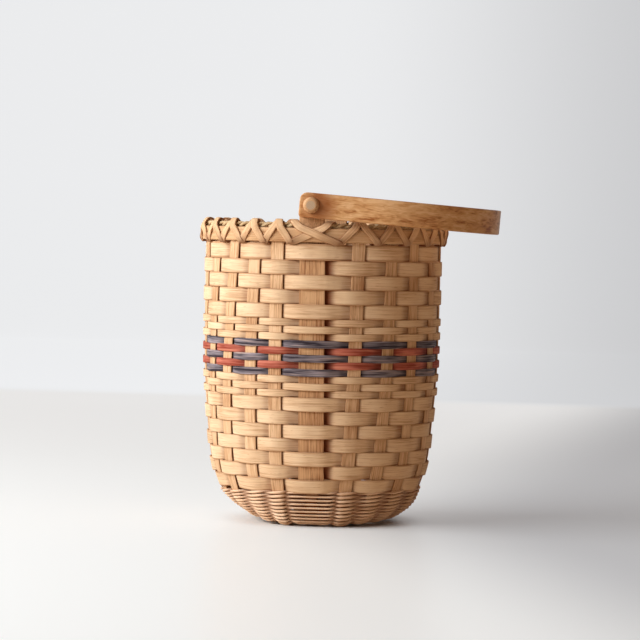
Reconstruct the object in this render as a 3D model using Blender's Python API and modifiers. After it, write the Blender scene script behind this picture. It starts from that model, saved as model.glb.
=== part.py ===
"""A round-sided splint basket on a square woven mat, with a lashed rim and one bent wood swing handle.

The basket is built in the order a weaver works. Ten long splints cross in a mat and turn up into twenty
uprights, rows of round reed bind the foot, rows of flat splint climb the wall, two hoops are lashed over
the top row, and a bent wood bow swings on pegs in two staves that are tucked down through the weave.
Metres, +Z up, the mat's underside at the origin, the front stave at -Y, the handle folded over +X.
"""
from math import asin, cos, hypot, pi, radians, sin

import bmesh
import bpy
from mathutils import Vector

MM = 0.001
# Clearance between neighbours, room round the edge of an upright, and how close two points may be
GAP = 0.3 * MM
EDGE_ROOM = 0.4 * MM
WELD = 0.01 * MM

# Stock that the basket is woven from
SPLINT_THICK = 1.1 * MM
UPRIGHT_WIDTH = 12.6 * MM
UPRIGHT_FOOT_WIDTH = 11.0 * MM
UPRIGHT_THICK = 1.2 * MM
ROUND_REED_RADIUS = 1.25 * MM

# Base mat: five splints each way
MAT_PITCH = 17.0 * MM
MAT_SPLINTS = 5
MAT_STEP = 1.6 * MM
MAT_BEND_ROOM = 0.1 * MM

# Line of the uprights' middle through the foot, as radius and height, from under the basket up to the wall.
# The foot stands flat at the front and back, lifts most at the left (-X) and is fuller at the right (+X).
FOOT_LINE_FRONT = [(r * MM, z * MM) for r, z in (
    (60.0, 3.7), (70.0, 3.7), (79.0, 3.8), (82.6, 7.0),
    (86.3, 13.0), (89.3, 20.0), (91.6, 27.0), (92.9, 33.1))]
FOOT_LINE_LEFT = [(r * MM, z * MM) for r, z in (
    (55.0, 6.5), (60.0, 8.4), (65.0, 10.8), (71.0, 14.0),
    (77.8, 17.6), (84.6, 22.4), (90.2, 28.4), (92.9, 33.1))]
FOOT_LINE_RIGHT = [(r * MM, z * MM) for r, z in (
    (59.0, 4.4), (66.0, 5.4), (72.5, 7.2), (78.5, 10.3),
    (84.0, 14.2), (89.4, 20.3), (92.4, 27.4), (94.2, 33.1))]

# Line of the uprights' middle up the round wall, as radius and height, and how much fuller it is at the
# right. Its bends fall between rows.
WALL_LINE = [(r * MM, z * MM, fuller * MM) for r, z, fuller in (
    (92.9, 33.1, 1.3), (97.7, 45.6, 1.3), (100.7, 58.2, 1.3), (102.6, 70.7, 1.0), (105.1, 95.7, 0.4),
    (107.4, 120.8, 0.4), (109.0, 146.8, 0.3), (109.8, 192.4, 0.0), (109.8, 272.5, 0.0))]
UPRIGHT_TOP = 271.5 * MM
TRIMMED_TOP = 253.5 * MM

# Compass places of the twenty uprights at the rim and at the foot, in degrees from the front towards +X.
# Most of them lean a little, and they crowd together low down at the left.
UPRIGHT_TOPS = [0.4, 22.7, 40.5, 54.9, 71.2, 90, 109, 127.5, 145, 162.5,
                180, 200.5, 222, 244, 266.5, 289, 303.3, 318, 331.2, 343.3]
UPRIGHT_FEET = [2, 21.1, 38, 55.5, 76, 94, 111.5, 128.5, 145.5, 162.5,
                180, 199, 219, 239, 258.5, 278, 293.5, 309, 327.5, 342.8]
LEAN_LOW = 33.1 * MM
LEAN_HIGH = 262.0 * MM
# Uprights that lie under a stave, and the compass place of the stave's head in radians
STAVES = {0: 0.0, 10: pi}
# Both ends of each mat splint, as numbers in the lists above, from one side of the mat to the other
FRONT_TO_BACK = [(18, 12), (19, 11), (0, 10), (1, 9), (2, 8)]
LEFT_TO_RIGHT = [(17, 3), (16, 4), (15, 5), (14, 6), (13, 7)]

# Rows of the wall, counted down from the rim: how many, their pitch and their splint
TOP_ROW_TOP = 258.9 * MM
TOP_WIDE_ROWS = 5
TOP_WIDE_PITCH = 13.34 * MM
NARROW_ROWS = 11
NARROW_PITCH = 6.51 * MM
LOW_WIDE_ROWS = 7
LOW_WIDE_PITCH = 12.53 * MM
ROW_SPACE = 0.45 * MM
BLUE_ROWS = (9, 11, 13)
RED_ROWS = (10, 12)

# Twined reed of the foot: rows, and the shares of the foot line at which the first and last lie
TWINED_ROWS = 12
FIRST_TWINED = 0.06
LAST_TWINED = 0.91

# Rim: two hoops, a filler between the staves, and two layers of lashing
HOOP_LOW = 261.9 * MM
HOOP_HIGH = 274.9 * MM
HOOP_THICK = 3.4 * MM
OUTER_HOOP_RADIUS = 112.9 * MM
INNER_HOOP_RADIUS = 106.7 * MM
FILLER_RADIUS = 2.9 * MM
FILLER_HEIGHT = 278.0 * MM
LASHING_WIDTH = 6.2 * MM
LASHING_THICK = 0.9 * MM
LASHING_GAP = 0.45 * MM
LASHING_STEP = 1.4 * MM
LASHING_SHOULDER = 2.5 * MM
LASHING_SHOULDER_STEP = 0.7 * MM
LASHING_BOW_OUT = 0.25 * MM
LASHING_BOW_OUT_STEP = 0.35 * MM
LASHING_SWELL = 0.3 * MM
LASHING_HIGH = 0.4 * MM
LASHING_STRETCH = 1.8
FILLER_END_ROOM = radians(0.6)
STAVE_CLEAR_ANGLE = radians(9.0)
# Shares of the way round from a gap to the peak, and from the peak to the next gap, at each corner of a turn
LASHING_RISE = {"under_out": 0.0, "out_high": 0.72, "top_out": 0.9}
LASHING_FALL = {"top_in": 0.1, "in_high": 0.28, "under_in": 1.0}
STAVE_LASHING_RISE = {"under_out": 0.0, "out_middle": 0.42, "out_high": 0.84, "top_out": 0.97}
STAVE_LASHING_FALL = {"top_in": 0.2, "in_high": 0.4, "under_in": 1.0}

# Staves that carry the handle
STAVE_WIDTH = 23.5 * MM
STAVE_TAIL_THICK = 1.2 * MM
STAVE_TAIL_FACE = 1.35 * MM
UPRIGHT_TUCK = 1.0 * MM
STAVE_NECK_FACE = 110.6 * MM
STAVE_NECK_THICK = 1.8 * MM
STAVE_HEAD_INNER = 107.6 * MM
STAVE_HEAD_OUTER = 112.2 * MM
STAVE_FOOT = 38.0 * MM
STAVE_FOOT_ROOM = 4.0 * MM
STAVE_NECK_START = 5.4 * MM
STAVE_NECK_LOW = 1.5 * MM
STAVE_NECK_HIGH = 0.2 * MM
STAVE_SHOULDER = 5.0 * MM
STAVE_CROWN = 305.9 * MM
STAVE_CROWN_TURNS = (0, 30, 55, 75)

# Swing handle
PIVOT_HEIGHT = 295.5 * MM
BOW_REACH = 165.4 * MM
BOW_WIDTH = 22.8 * MM
BOW_THICK = 8.4 * MM
BOW_INNER_FACE = 112.9 * MM
BOW_BEND_RADIUS = 108.0 * MM
BOW_END = 11.0 * MM
BOW_ARM = (-4.0 * MM, 14.0 * MM, 36.0 * MM)
BOW_BEND_STEPS = 9
# How far the end of the bow is drawn in at five levels from its lower edge to its upper one
BOW_END_DRAW = (5.0 * MM, 0.8 * MM, 0.0, 0.8 * MM, 4.0 * MM)
BOW_EDGE = 1.1 * MM
BOW_EDGE_ANGLE = radians(50)
BOW_FLAT_ANGLE = radians(0.5)
FOLDED_ANGLE = radians(4.1)
DRILL_LENGTH = 400.0 * MM
DRILL_SIDES = 16
PEG_RADIUS = 4.0 * MM
PEG_EASE = 0.6 * MM
PEG_SIDES = 14
PEG_HEAD_RADIUS = 7.4 * MM
PEG_FACE_RADIUS = 4.0 * MM
PEG_HEAD_LENGTH = 5.4 * MM
PEG_INNER_END = 104.4 * MM


def make_material(name, colour, roughness):
    material = bpy.data.materials.new(name)
    material.use_nodes = True
    shader = material.node_tree.nodes["Principled BSDF"]
    shader.inputs["Base Color"].default_value = (*colour, 1.0)
    shader.inputs["Roughness"].default_value = roughness
    shader.inputs["Metallic"].default_value = 0.0
    material.diffuse_color = (*colour, 1.0)
    return material


def place(angle, radius, height):
    """The point at a compass angle (radians from the front towards +X), a radius and a height."""
    return Vector((radius * sin(angle), -radius * cos(angle), height))


def around(angle):
    """The level direction that runs round the wall at a compass angle."""
    return Vector((cos(angle), sin(angle), 0.0))


def wall_radius(angle, height):
    """Radius of the uprights' middle at a compass angle and a height on the round wall."""
    rightward = max(sin(angle), 0.0) ** 2
    for (r0, z0, fuller0), (r1, z1, fuller1) in zip(WALL_LINE, WALL_LINE[1:]):
        if height <= z1:
            share = (height - z0) / (z1 - z0)
            return r0 + (r1 - r0) * share + rightward * (fuller0 + (fuller1 - fuller0) * share)
    return WALL_LINE[-1][0]


def foot_line(angle):
    """The uprights' middle through the foot at a compass angle, as points of radius and height."""
    sideways = sin(angle) ** 2
    side_line = FOOT_LINE_RIGHT if sin(angle) > 0.0 else FOOT_LINE_LEFT
    return [Vector(front).lerp(Vector(side), sideways) for front, side in zip(FOOT_LINE_FRONT, side_line)]


def foot_point(angle, share):
    """The point at a share of the foot line's length, and the line's direction there."""
    line = foot_line(angle)
    left = share * sum((after - before).length for before, after in zip(line, line[1:]))
    for before, after in zip(line, line[1:]):
        step = after - before
        if left <= step.length or after is line[-1]:
            return before + step.normalized() * left, step.normalized()
        left -= step.length


def upright_angle(index, height=0.0):
    """Compass angle of an upright at a height: straight up out of the foot, then leaning up the wall."""
    share = min(max((height - LEAN_LOW) / (LEAN_HIGH - LEAN_LOW), 0.0), 1.0)
    return radians(UPRIGHT_FEET[index] + (UPRIGHT_TOPS[index] - UPRIGHT_FEET[index]) * share)


def add_to_part(obj, material, collection):
    collection.objects.link(obj)
    obj.data.materials.clear()
    obj.data.materials.append(material)
    return obj


def modifier(obj, kind, **settings):
    added = obj.modifiers.new(kind.title(), kind)
    for key, value in settings.items():
        setattr(added, key, value)
    return added


def bent_strip(name, rails, thickness, closed=False, columns=1, offset=0.0):
    """A flat splint: a grid laid over two or more rails of points, then given its thickness.

    rails is a list of stations along the strip, each a list of points across it.
    """
    count = len(rails)
    steps = count if closed else count - 1
    mesh = bpy.data.meshes.new(name)
    sheet = bmesh.new()
    bmesh.ops.create_grid(sheet, x_segments=steps, y_segments=columns, size=1.0)
    for vert in sheet.verts:
        along = round((vert.co.x + 1.0) / 2.0 * steps) % count
        across = round((vert.co.y + 1.0) / 2.0 * columns)
        vert.co = rails[along][across]
    if closed:
        bmesh.ops.remove_doubles(sheet, verts=sheet.verts, dist=WELD)
    sheet.to_mesh(mesh)
    sheet.free()
    obj = bpy.data.objects.new(name, mesh)
    modifier(obj, "SOLIDIFY", thickness=thickness, offset=offset, use_even_offset=True)
    return obj


def level_strip(name, stations, thickness):
    """A splint from stations of (middle, direction across, width)."""
    rails = [[middle - across * width / 2, middle + across * width / 2]
             for middle, across, width in stations]
    return bent_strip(name, rails, thickness)


def round_rod(name, points, radius, closed=False, resolution=0):
    """A length of round reed along a list of points."""
    curve = bpy.data.curves.new(name, "CURVE")
    curve.dimensions = "3D"
    curve.twist_mode = "Z_UP"
    curve.bevel_depth = radius
    curve.bevel_resolution = resolution
    curve.use_fill_caps = not closed
    line = curve.splines.new("POLY")
    line.points.add(len(points) - 1)
    for target, point in zip(line.points, points):
        target.co = (*point, 1.0)
    line.use_cyclic_u = closed
    return bpy.data.objects.new(name, curve)


# Base mat and uprights

def upright_end(index, across):
    """Stations of one end of a mat splint: out from the mat, round the foot and up the wall."""
    foot = upright_angle(index)
    side = 1.0 if across.dot(around(foot)) > 0.0 else -1.0
    is_stave = index in STAVES
    tucked_in = UPRIGHT_TUCK if is_stave else 0.0
    stations = [(place(foot, radius, z), around(foot) * side, UPRIGHT_FOOT_WIDTH)
                for radius, z in foot_line(foot)[:-1]]
    for z in [point[1] for point in WALL_LINE[:-1]] + [TRIMMED_TOP if is_stave else UPRIGHT_TOP]:
        angle = upright_angle(index, z)
        middle = place(angle, wall_radius(angle, z) - tucked_in, z)
        stations.append((middle, around(angle) * side, UPRIGHT_WIDTH))
    return stations


def mat_splint(name, ends, lane, direction):
    """One splint of the mat, over and under the five that cross it, with an upright at each end."""
    across = Vector((-direction.y, direction.x, 0.0))
    side = across * (lane * MAT_PITCH)
    low, high = UPRIGHT_THICK / 2, UPRIGHT_THICK / 2 + MAT_STEP
    runs_over = direction.x != 0.0
    middle = []
    for crossing in range(-(MAT_SPLINTS // 2), MAT_SPLINTS // 2 + 1):
        raised = ((crossing + lane) % 2 == 0) == runs_over
        for edge in (-1, 1):
            along = crossing * MAT_PITCH + edge * (UPRIGHT_WIDTH / 2 + MAT_BEND_ROOM)
            point = side + direction * along
            point.z = high if raised else low
            middle.append((point, across, UPRIGHT_WIDTH))
    first = upright_end(ends[0], across)
    last = upright_end(ends[1], across)
    return level_strip(name, first[::-1] + middle + last, UPRIGHT_THICK)


def build_mat(material, collection):
    lanes = range(-(MAT_SPLINTS // 2), MAT_SPLINTS // 2 + 1)
    for number, (lane, ends) in enumerate(zip(lanes, FRONT_TO_BACK), 1):
        splint = mat_splint(f"upright_front_back_{number}", ends, -lane, Vector((0.0, 1.0, 0.0)))
        add_to_part(splint, material, collection)
    for number, (lane, ends) in enumerate(zip(lanes, LEFT_TO_RIGHT), 1):
        splint = mat_splint(f"upright_left_right_{number}", ends, lane, Vector((1.0, 0.0, 0.0)))
        add_to_part(splint, material, collection)


# Woven rows

def over_depth(index):
    """How far a flat weaver's middle stands out from the wall line where it passes over an upright."""
    face = STAVE_TAIL_FACE if index in STAVES else UPRIGHT_THICK / 2
    return face + GAP + SPLINT_THICK / 2


def half_width(index):
    width = STAVE_WIDTH if index in STAVES else UPRIGHT_WIDTH
    return width / 2 + EDGE_ROOM


def behind_depth(index, height):
    """How far in a weaver's one bend behind an upright lies, so that both its runs clear the edges."""
    count = len(UPRIGHT_FEET)
    radius = wall_radius(upright_angle(index, height), height)
    tuck = UPRIGHT_TUCK if index in STAVES else 0.0
    need = UPRIGHT_THICK / 2 + GAP + SPLINT_THICK / 2 + tuck
    half = UPRIGHT_WIDTH / 2 + EDGE_ROOM
    depth = need
    for step in (-1, 1):
        other = (index + step) % count
        turn = (upright_angle(other, height) - upright_angle(index, height)) * step % (2 * pi)
        run = radius * turn - half_width(other)
        share = (run - half) / run
        sag = run * run * share * (1.0 - share) / (2.0 * radius)
        over = over_depth(other)
        depth = max(depth, (over + need - sag) / share - over)
    return depth


def woven_ring(name, row, top, bottom):
    """A closed flat weaver: flat over one upright, then a bend behind the next, and so on round."""
    rails = []
    for index in range(len(UPRIGHT_FEET)):
        passes_behind = (index + row) % 2 == 0
        for edge in (0,) if passes_behind else (-1, 1):
            points = []
            for height in (top, bottom):
                angle = upright_angle(index, height)
                depth = -behind_depth(index, height) if passes_behind else over_depth(index)
                radius = wall_radius(angle, height) + depth
                turn = edge * asin(half_width(index) / radius)
                points.append(place(angle + turn, radius / cos(turn), height))
            rails.append(points)
    return bent_strip(name, rails, SPLINT_THICK, closed=True)


def row_limits():
    """Top and bottom of every flat row, from the rim down."""
    limits = []
    top = TOP_ROW_TOP
    pitches = ((TOP_WIDE_ROWS, TOP_WIDE_PITCH), (NARROW_ROWS, NARROW_PITCH), (LOW_WIDE_ROWS, LOW_WIDE_PITCH))
    for count, pitch in pitches:
        for _ in range(count):
            limits.append((top, top - pitch + ROW_SPACE, pitch))
            top -= pitch
    return limits


def build_rows(natural, blue, red, collection):
    for row, (top, bottom, pitch) in enumerate(row_limits(), 1):
        if row in BLUE_ROWS:
            kind, material = "blue_weaver", blue
        elif row in RED_ROWS:
            kind, material = "red_weaver", red
        elif pitch == NARROW_PITCH:
            kind, material = "narrow_weaver", natural
        else:
            kind, material = "wide_weaver", natural
        add_to_part(woven_ring(f"{kind}_{row:02d}", row, top, bottom), material, collection)


# Round reed that binds the foot

def twined_ring(name, row, share):
    """A closed round reed, in front of and behind the uprights by turns, square to the curved foot."""
    clear = UPRIGHT_THICK / 2 + GAP + ROUND_REED_RADIUS
    points = []
    for index in range(len(UPRIGHT_FEET)):
        (radius, height), (run, rise) = foot_point(upright_angle(index), share)
        depth = clear if (index + row) % 2 else -clear
        radius += depth * rise
        height -= depth * run
        turn = asin((UPRIGHT_FOOT_WIDTH / 2 + EDGE_ROOM) / radius)
        for edge in (-1, 1):
            points.append(place(upright_angle(index) + edge * turn, radius / cos(turn), height))
    return round_rod(name, points, ROUND_REED_RADIUS, closed=True)


def build_twining(material, collection):
    for row in range(TWINED_ROWS):
        share = LAST_TWINED + (FIRST_TWINED - LAST_TWINED) * row / (TWINED_ROWS - 1)
        add_to_part(twined_ring(f"twined_reed_{row + 1:02d}", row, share), material, collection)


# Rim

def hoop(name, radius, segments=48):
    """A flat hoop that clamps the uprights' tops."""
    rails = []
    for step in range(segments):
        angle = 2 * pi * step / segments
        rails.append([place(angle, radius, HOOP_LOW), place(angle, radius, HOOP_HIGH)])
    return bent_strip(name, rails, HOOP_THICK, closed=True)


def rim_filler(name, first, last, segments=15):
    """A round core on top of the hoops, from one stave to the other."""
    clear = STAVE_WIDTH / 2 / STAVE_HEAD_INNER + FILLER_END_ROOM
    start = STAVES[first] + clear
    end = STAVES[last] - clear + (2 * pi if last < first else 0.0)
    radius = (OUTER_HOOP_RADIUS + INNER_HOOP_RADIUS) / 2
    points = [place(start + (end - start) * step / segments, radius, FILLER_HEIGHT)
              for step in range(segments + 1)]
    return round_rod(name, points, FILLER_RADIUS, resolution=1)


def lashing_section(layer):
    """Corners of one turn of lashing as radius and height: under the hoops, up the outside, over, down."""
    off = LASHING_GAP + LASHING_THICK / 2 + layer * LASHING_STEP
    inside = INNER_HOOP_RADIUS - HOOP_THICK / 2 - off
    outside = OUTER_HOOP_RADIUS + HOOP_THICK / 2 + off + LASHING_BOW_OUT + layer * LASHING_BOW_OUT_STEP
    swell = outside + LASHING_SWELL
    middle = (OUTER_HOOP_RADIUS + INNER_HOOP_RADIUS) / 2
    crown = FILLER_HEIGHT + FILLER_RADIUS + off
    shoulder = LASHING_SHOULDER + layer * LASHING_SHOULDER_STEP
    high = HOOP_HIGH + LASHING_HIGH
    return {"under_out": (outside, HOOP_LOW - off), "out_middle": (swell, (HOOP_LOW - off + high) / 2),
            "out_high": (outside, high), "top_out": (middle + shoulder, crown),
            "top_in": (middle - shoulder, crown), "in_high": (inside, high),
            "under_in": (inside, HOOP_LOW - off)}


def lashing_turn(start, end, stave_angle):
    """Where one turn of lashing stands at each corner, as pairs of corner and compass angle.

    It rises outside from the gap before an upright, crosses above the upright, and comes back down
    inside to the gap after it. Where a stave's head fills the top, it crosses the stave outside.
    """
    if stave_angle is None:
        peak = (start + end) / 2
        rise, fall = LASHING_RISE, LASHING_FALL
    else:
        peak = stave_angle + (STAVE_CLEAR_ANGLE if end > start else -STAVE_CLEAR_ANGLE)
        rise, fall = STAVE_LASHING_RISE, STAVE_LASHING_FALL
    turn = [(corner, start + (peak - start) * share) for corner, share in rise.items()]
    return turn + [(corner, peak + (end - peak) * share) for corner, share in fall.items()]


def gap_angle(index):
    """Compass angle of the middle of the gap, under the rim, between an upright and the next."""
    following = (index + 1) % len(UPRIGHT_TOPS)
    near = upright_angle(index, HOOP_LOW) + half_width(index) / OUTER_HOOP_RADIUS
    far = upright_angle(following, HOOP_LOW) - half_width(following) / OUTER_HOOP_RADIUS
    return (near + far + (2 * pi if following == 0 else 0.0)) / 2


def lashing(name, layer, forward):
    """One flat strand that spirals once round the rim, leaning forward or back."""
    section = lashing_section(layer)
    count = len(UPRIGHT_TOPS)
    path = []
    for index in range(count) if forward else range(count - 1, -1, -1):
        gaps = (gap_angle((index - 1) % count) - (2 * pi if index == 0 else 0.0), gap_angle(index))
        start, end = gaps if forward else gaps[::-1]
        path += lashing_turn(start, end, STAVES.get(index))
    rails = []
    for step, (corner, angle) in enumerate(path):
        radius, height = section[corner]
        lean = radius * lean_at(path, step)
        rise = hypot(*(after - before for after, before in zip(
            section[path[(step + 1) % len(path)][0]], section[path[step - 1][0]])))
        half = LASHING_WIDTH / 2 * min(hypot(lean, rise) / rise, LASHING_STRETCH)
        edge = around(angle) * (half if forward else -half)
        middle = place(angle, radius, height)
        rails.append([middle - edge, middle + edge])
    return bent_strip(name, rails, LASHING_THICK, closed=True)


def lean_at(path, step):
    """How far round the rim, as an angle, the strand moves between the corners before and after one."""
    turn = path[(step + 1) % len(path)][1] - path[step - 1][1]
    return (turn + pi) % (2 * pi) - pi


def build_rim(wood, reed, lashing_reed, collection):
    add_to_part(hoop("rim_hoop_outer", OUTER_HOOP_RADIUS), wood, collection)
    add_to_part(hoop("rim_hoop_inner", INNER_HOOP_RADIUS), wood, collection)
    front, back = STAVES
    add_to_part(rim_filler("rim_filler_right", front, back), reed, collection)
    add_to_part(rim_filler("rim_filler_left", back, front), reed, collection)
    add_to_part(lashing("rim_lashing_under", 0, True), lashing_reed, collection)
    add_to_part(lashing("rim_lashing_over", 1, False), lashing_reed, collection)


# Staves, pegs and handle

def stave(name, index, material, collection, cutters):
    """A wide stave with a thick round head above the rim and a thin tail down through the weave."""
    head_thick = STAVE_HEAD_OUTER - STAVE_HEAD_INNER
    levels = []
    for z in [STAVE_FOOT] + [point[1] for point in WALL_LINE] + [HOOP_LOW - STAVE_NECK_START]:
        if z == STAVE_FOOT or STAVE_FOOT + STAVE_FOOT_ROOM < z < HOOP_LOW:
            face = wall_radius(upright_angle(index, z), z) + STAVE_TAIL_FACE
            levels.append((z, face, STAVE_TAIL_THICK, 1.0))
    levels.append((HOOP_LOW - STAVE_NECK_LOW, STAVE_NECK_FACE, STAVE_NECK_THICK, 1.0))
    levels.append((HOOP_HIGH + STAVE_NECK_HIGH, STAVE_NECK_FACE, STAVE_NECK_THICK, 1.0))
    levels.append((HOOP_HIGH + STAVE_SHOULDER, STAVE_HEAD_OUTER, head_thick, 1.0))
    crown_radius = STAVE_WIDTH / 2
    crown_middle = STAVE_CROWN - crown_radius
    for degrees in STAVE_CROWN_TURNS:
        level = crown_middle + crown_radius * sin(radians(degrees))
        levels.append((level, STAVE_HEAD_OUTER, head_thick, cos(radians(degrees))))
    columns = 2
    rails = []
    for height, face, _, share in levels:
        angle = upright_angle(index, height) if height < HOOP_LOW - STAVE_NECK_LOW else STAVES[index]
        row = []
        for column in range(columns + 1):
            offset = (column / columns * 2 - 1) * STAVE_WIDTH / 2 * share
            row.append(place(angle + offset / face, face, height))
        rails.append(row)
    obj = bent_strip(name, rails, head_thick, columns=columns, offset=1.0)
    group = obj.vertex_groups.new(name="thickness")
    for vert in obj.data.vertices:
        level = min(levels, key=lambda entry: abs(entry[0] - vert.co.z))
        group.add([vert.index], level[2] / head_thick, "REPLACE")
    obj.modifiers["Solidify"].vertex_group = "thickness"
    obj.modifiers["Solidify"].use_even_offset = False
    add_to_part(obj, material, collection)
    cut_peg_hole(obj, PEG_RADIUS + GAP, cutters)
    return obj


def cut_peg_hole(obj, radius, cutters):
    """A level hole along Y through whatever stands on the pivot line."""
    mesh = bpy.data.meshes.new(obj.name + "_hole")
    drill = bmesh.new()
    bmesh.ops.create_cone(drill, cap_ends=True, segments=DRILL_SIDES, radius1=radius, radius2=radius,
                          depth=DRILL_LENGTH)
    drill.to_mesh(mesh)
    drill.free()
    cutter = bpy.data.objects.new(obj.name + "_hole", mesh)
    cutter.location = (0.0, 0.0, PIVOT_HEIGHT)
    cutter.rotation_euler = (pi / 2, 0.0, 0.0)
    cutter.hide_render = True
    cutter.display_type = "WIRE"
    cutters.objects.link(cutter)
    modifier(obj, "BOOLEAN", operation="DIFFERENCE", object=cutter, solver="EXACT")


def peg(name, material, collection, back):
    """A turned peg: a shank through the handle and the stave, and a button head with a small flat face."""
    face = BOW_INNER_FACE + BOW_THICK + GAP
    end = face + PEG_HEAD_LENGTH
    profile = [(0.0, PEG_INNER_END), (PEG_RADIUS - PEG_EASE, PEG_INNER_END),
               (PEG_RADIUS, PEG_INNER_END + PEG_EASE), (PEG_RADIUS, face),
               (PEG_HEAD_RADIUS, face), (PEG_HEAD_RADIUS, face + PEG_EASE)]
    for degrees in (30, 60, 90):
        turn = radians(degrees)
        profile.append((PEG_FACE_RADIUS + (PEG_HEAD_RADIUS - PEG_FACE_RADIUS) * cos(turn),
                        face + PEG_EASE + (PEG_HEAD_LENGTH - PEG_EASE) * sin(turn)))
    profile.append((0.0, end))
    mesh = bpy.data.meshes.new(name)
    outline = bmesh.new()
    points = [outline.verts.new((radius, 0.0, length)) for radius, length in reversed(profile)]
    for first, second in zip(points, points[1:]):
        outline.edges.new((first, second))
    outline.to_mesh(mesh)
    outline.free()
    obj = bpy.data.objects.new(name, mesh)
    modifier(obj, "SCREW", steps=PEG_SIDES, render_steps=PEG_SIDES, use_merge_vertices=True,
             merge_threshold=WELD, use_smooth_shade=True)
    obj.location = (0.0, 0.0, PIVOT_HEIGHT)
    obj.rotation_euler = (-pi / 2 if back else pi / 2, 0.0, 0.0)
    return add_to_part(obj, material, collection)


def bow_path():
    """Middle of the bow in its own level plane: one arm, two bends with a short flat between, the other."""
    half_span = BOW_INNER_FACE + BOW_THICK / 2
    bend = BOW_BEND_RADIUS - BOW_THICK / 2
    reach = BOW_REACH - BOW_THICK / 2
    bend_x, bend_y = reach - bend, half_span - bend
    arm = [(x, -half_span) for x in (-BOW_END, *BOW_ARM)]
    turns = [pi / 2 * step / BOW_BEND_STEPS for step in range(BOW_BEND_STEPS + 1)]
    near = arm + [(bend_x + bend * sin(turn), -bend_y - bend * cos(turn)) for turn in turns]
    far = [(x, -y) for x, y in reversed(near)]
    return near + far


def build_bow(material, collection, cutters, hinge):
    """The bent wood bow: an even strip of wood with rounded ends and eased edges."""
    path = bow_path()
    columns = len(BOW_END_DRAW) - 1
    rails = []
    for station, (x, y) in enumerate(path):
        at_end = station in (0, len(path) - 1)
        row = []
        for column in range(columns + 1):
            height = (column / columns - 0.5) * BOW_WIDTH
            row.append(Vector((x + (BOW_END_DRAW[column] if at_end else 0.0), y, height)))
        rails.append(row)
    bow = bent_strip("handle_bow", rails, BOW_THICK, columns=columns)
    modifier(bow, "DECIMATE", decimate_type="DISSOLVE", angle_limit=BOW_FLAT_ANGLE)
    modifier(bow, "BEVEL", width=BOW_EDGE, segments=1, limit_method="ANGLE", angle_limit=BOW_EDGE_ANGLE)
    add_to_part(bow, material, collection)
    bow.parent = hinge
    cut_peg_hole(bow, PEG_RADIUS + GAP, cutters)
    return bow


def build_handle(bow_wood, stave_wood, peg_wood, collection, cutters):
    front, back = STAVES
    stave("handle_stave_front", front, stave_wood, collection, cutters)
    stave("handle_stave_back", back, stave_wood, collection, cutters)
    peg("handle_peg_front", peg_wood, collection, back=False)
    peg("handle_peg_back", peg_wood, collection, back=True)
    hinge = bpy.data.objects.new("handle_hinge", None)
    hinge.location = (0.0, 0.0, PIVOT_HEIGHT)
    hinge.rotation_euler = (0.0, FOLDED_ANGLE, 0.0)
    collection.objects.link(hinge)
    build_bow(bow_wood, collection, cutters, hinge)


def main():
    for obj in list(bpy.data.objects):
        bpy.data.objects.remove(obj, do_unlink=True)
    part = bpy.data.collections.new("splint_basket")
    cutters = bpy.data.collections.new("cutters")
    bpy.context.scene.collection.children.link(part)
    bpy.context.scene.collection.children.link(cutters)
    upright = make_material("upright_splint", (0.60, 0.38, 0.22), 0.62)
    weaver = make_material("weaver_splint", (0.74, 0.52, 0.32), 0.62)
    blue = make_material("blue_splint", (0.13, 0.12, 0.14), 0.62)
    red = make_material("red_splint", (0.42, 0.12, 0.07), 0.62)
    reed = make_material("round_reed", (0.78, 0.58, 0.37), 0.6)
    hoop_wood = make_material("hoop_splint", (0.76, 0.55, 0.34), 0.6)
    lashing_reed = make_material("lashing_reed", (0.78, 0.58, 0.38), 0.6)
    stave_wood = make_material("stave_wood", (0.42, 0.22, 0.12), 0.55)
    peg_wood = make_material("peg_wood", (0.45, 0.30, 0.18), 0.55)
    bow_wood = make_material("bow_wood", (0.47, 0.24, 0.10), 0.45)
    build_mat(upright, part)
    build_rows(weaver, blue, red, part)
    build_twining(reed, part)
    build_rim(hoop_wood, reed, lashing_reed, part)
    build_handle(bow_wood, stave_wood, peg_wood, part, cutters)


main()
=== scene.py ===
from math import atan, cos, hypot, pi, radians, sin

import bmesh
import bpy
import numpy
from mathutils import Matrix, Vector


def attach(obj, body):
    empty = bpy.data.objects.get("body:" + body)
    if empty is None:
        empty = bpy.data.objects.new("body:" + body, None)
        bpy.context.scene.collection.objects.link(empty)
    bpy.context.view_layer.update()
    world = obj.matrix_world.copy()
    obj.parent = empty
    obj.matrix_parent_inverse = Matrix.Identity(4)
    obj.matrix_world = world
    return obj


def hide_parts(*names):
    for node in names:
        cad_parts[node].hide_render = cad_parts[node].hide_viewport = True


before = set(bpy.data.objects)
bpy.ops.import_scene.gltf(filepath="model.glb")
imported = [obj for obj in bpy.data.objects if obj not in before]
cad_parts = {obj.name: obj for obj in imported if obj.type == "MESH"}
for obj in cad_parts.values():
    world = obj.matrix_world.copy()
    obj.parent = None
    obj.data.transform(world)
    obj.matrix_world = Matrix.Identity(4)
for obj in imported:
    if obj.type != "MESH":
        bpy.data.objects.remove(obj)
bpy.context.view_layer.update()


# Uprights
# Ten long splints of pale split wood cross in a mat under the basket and turn up into twenty uprights.
# Each shows only where a row passes behind it, so it swells a little there and is pressed flat elsewhere.

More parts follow.
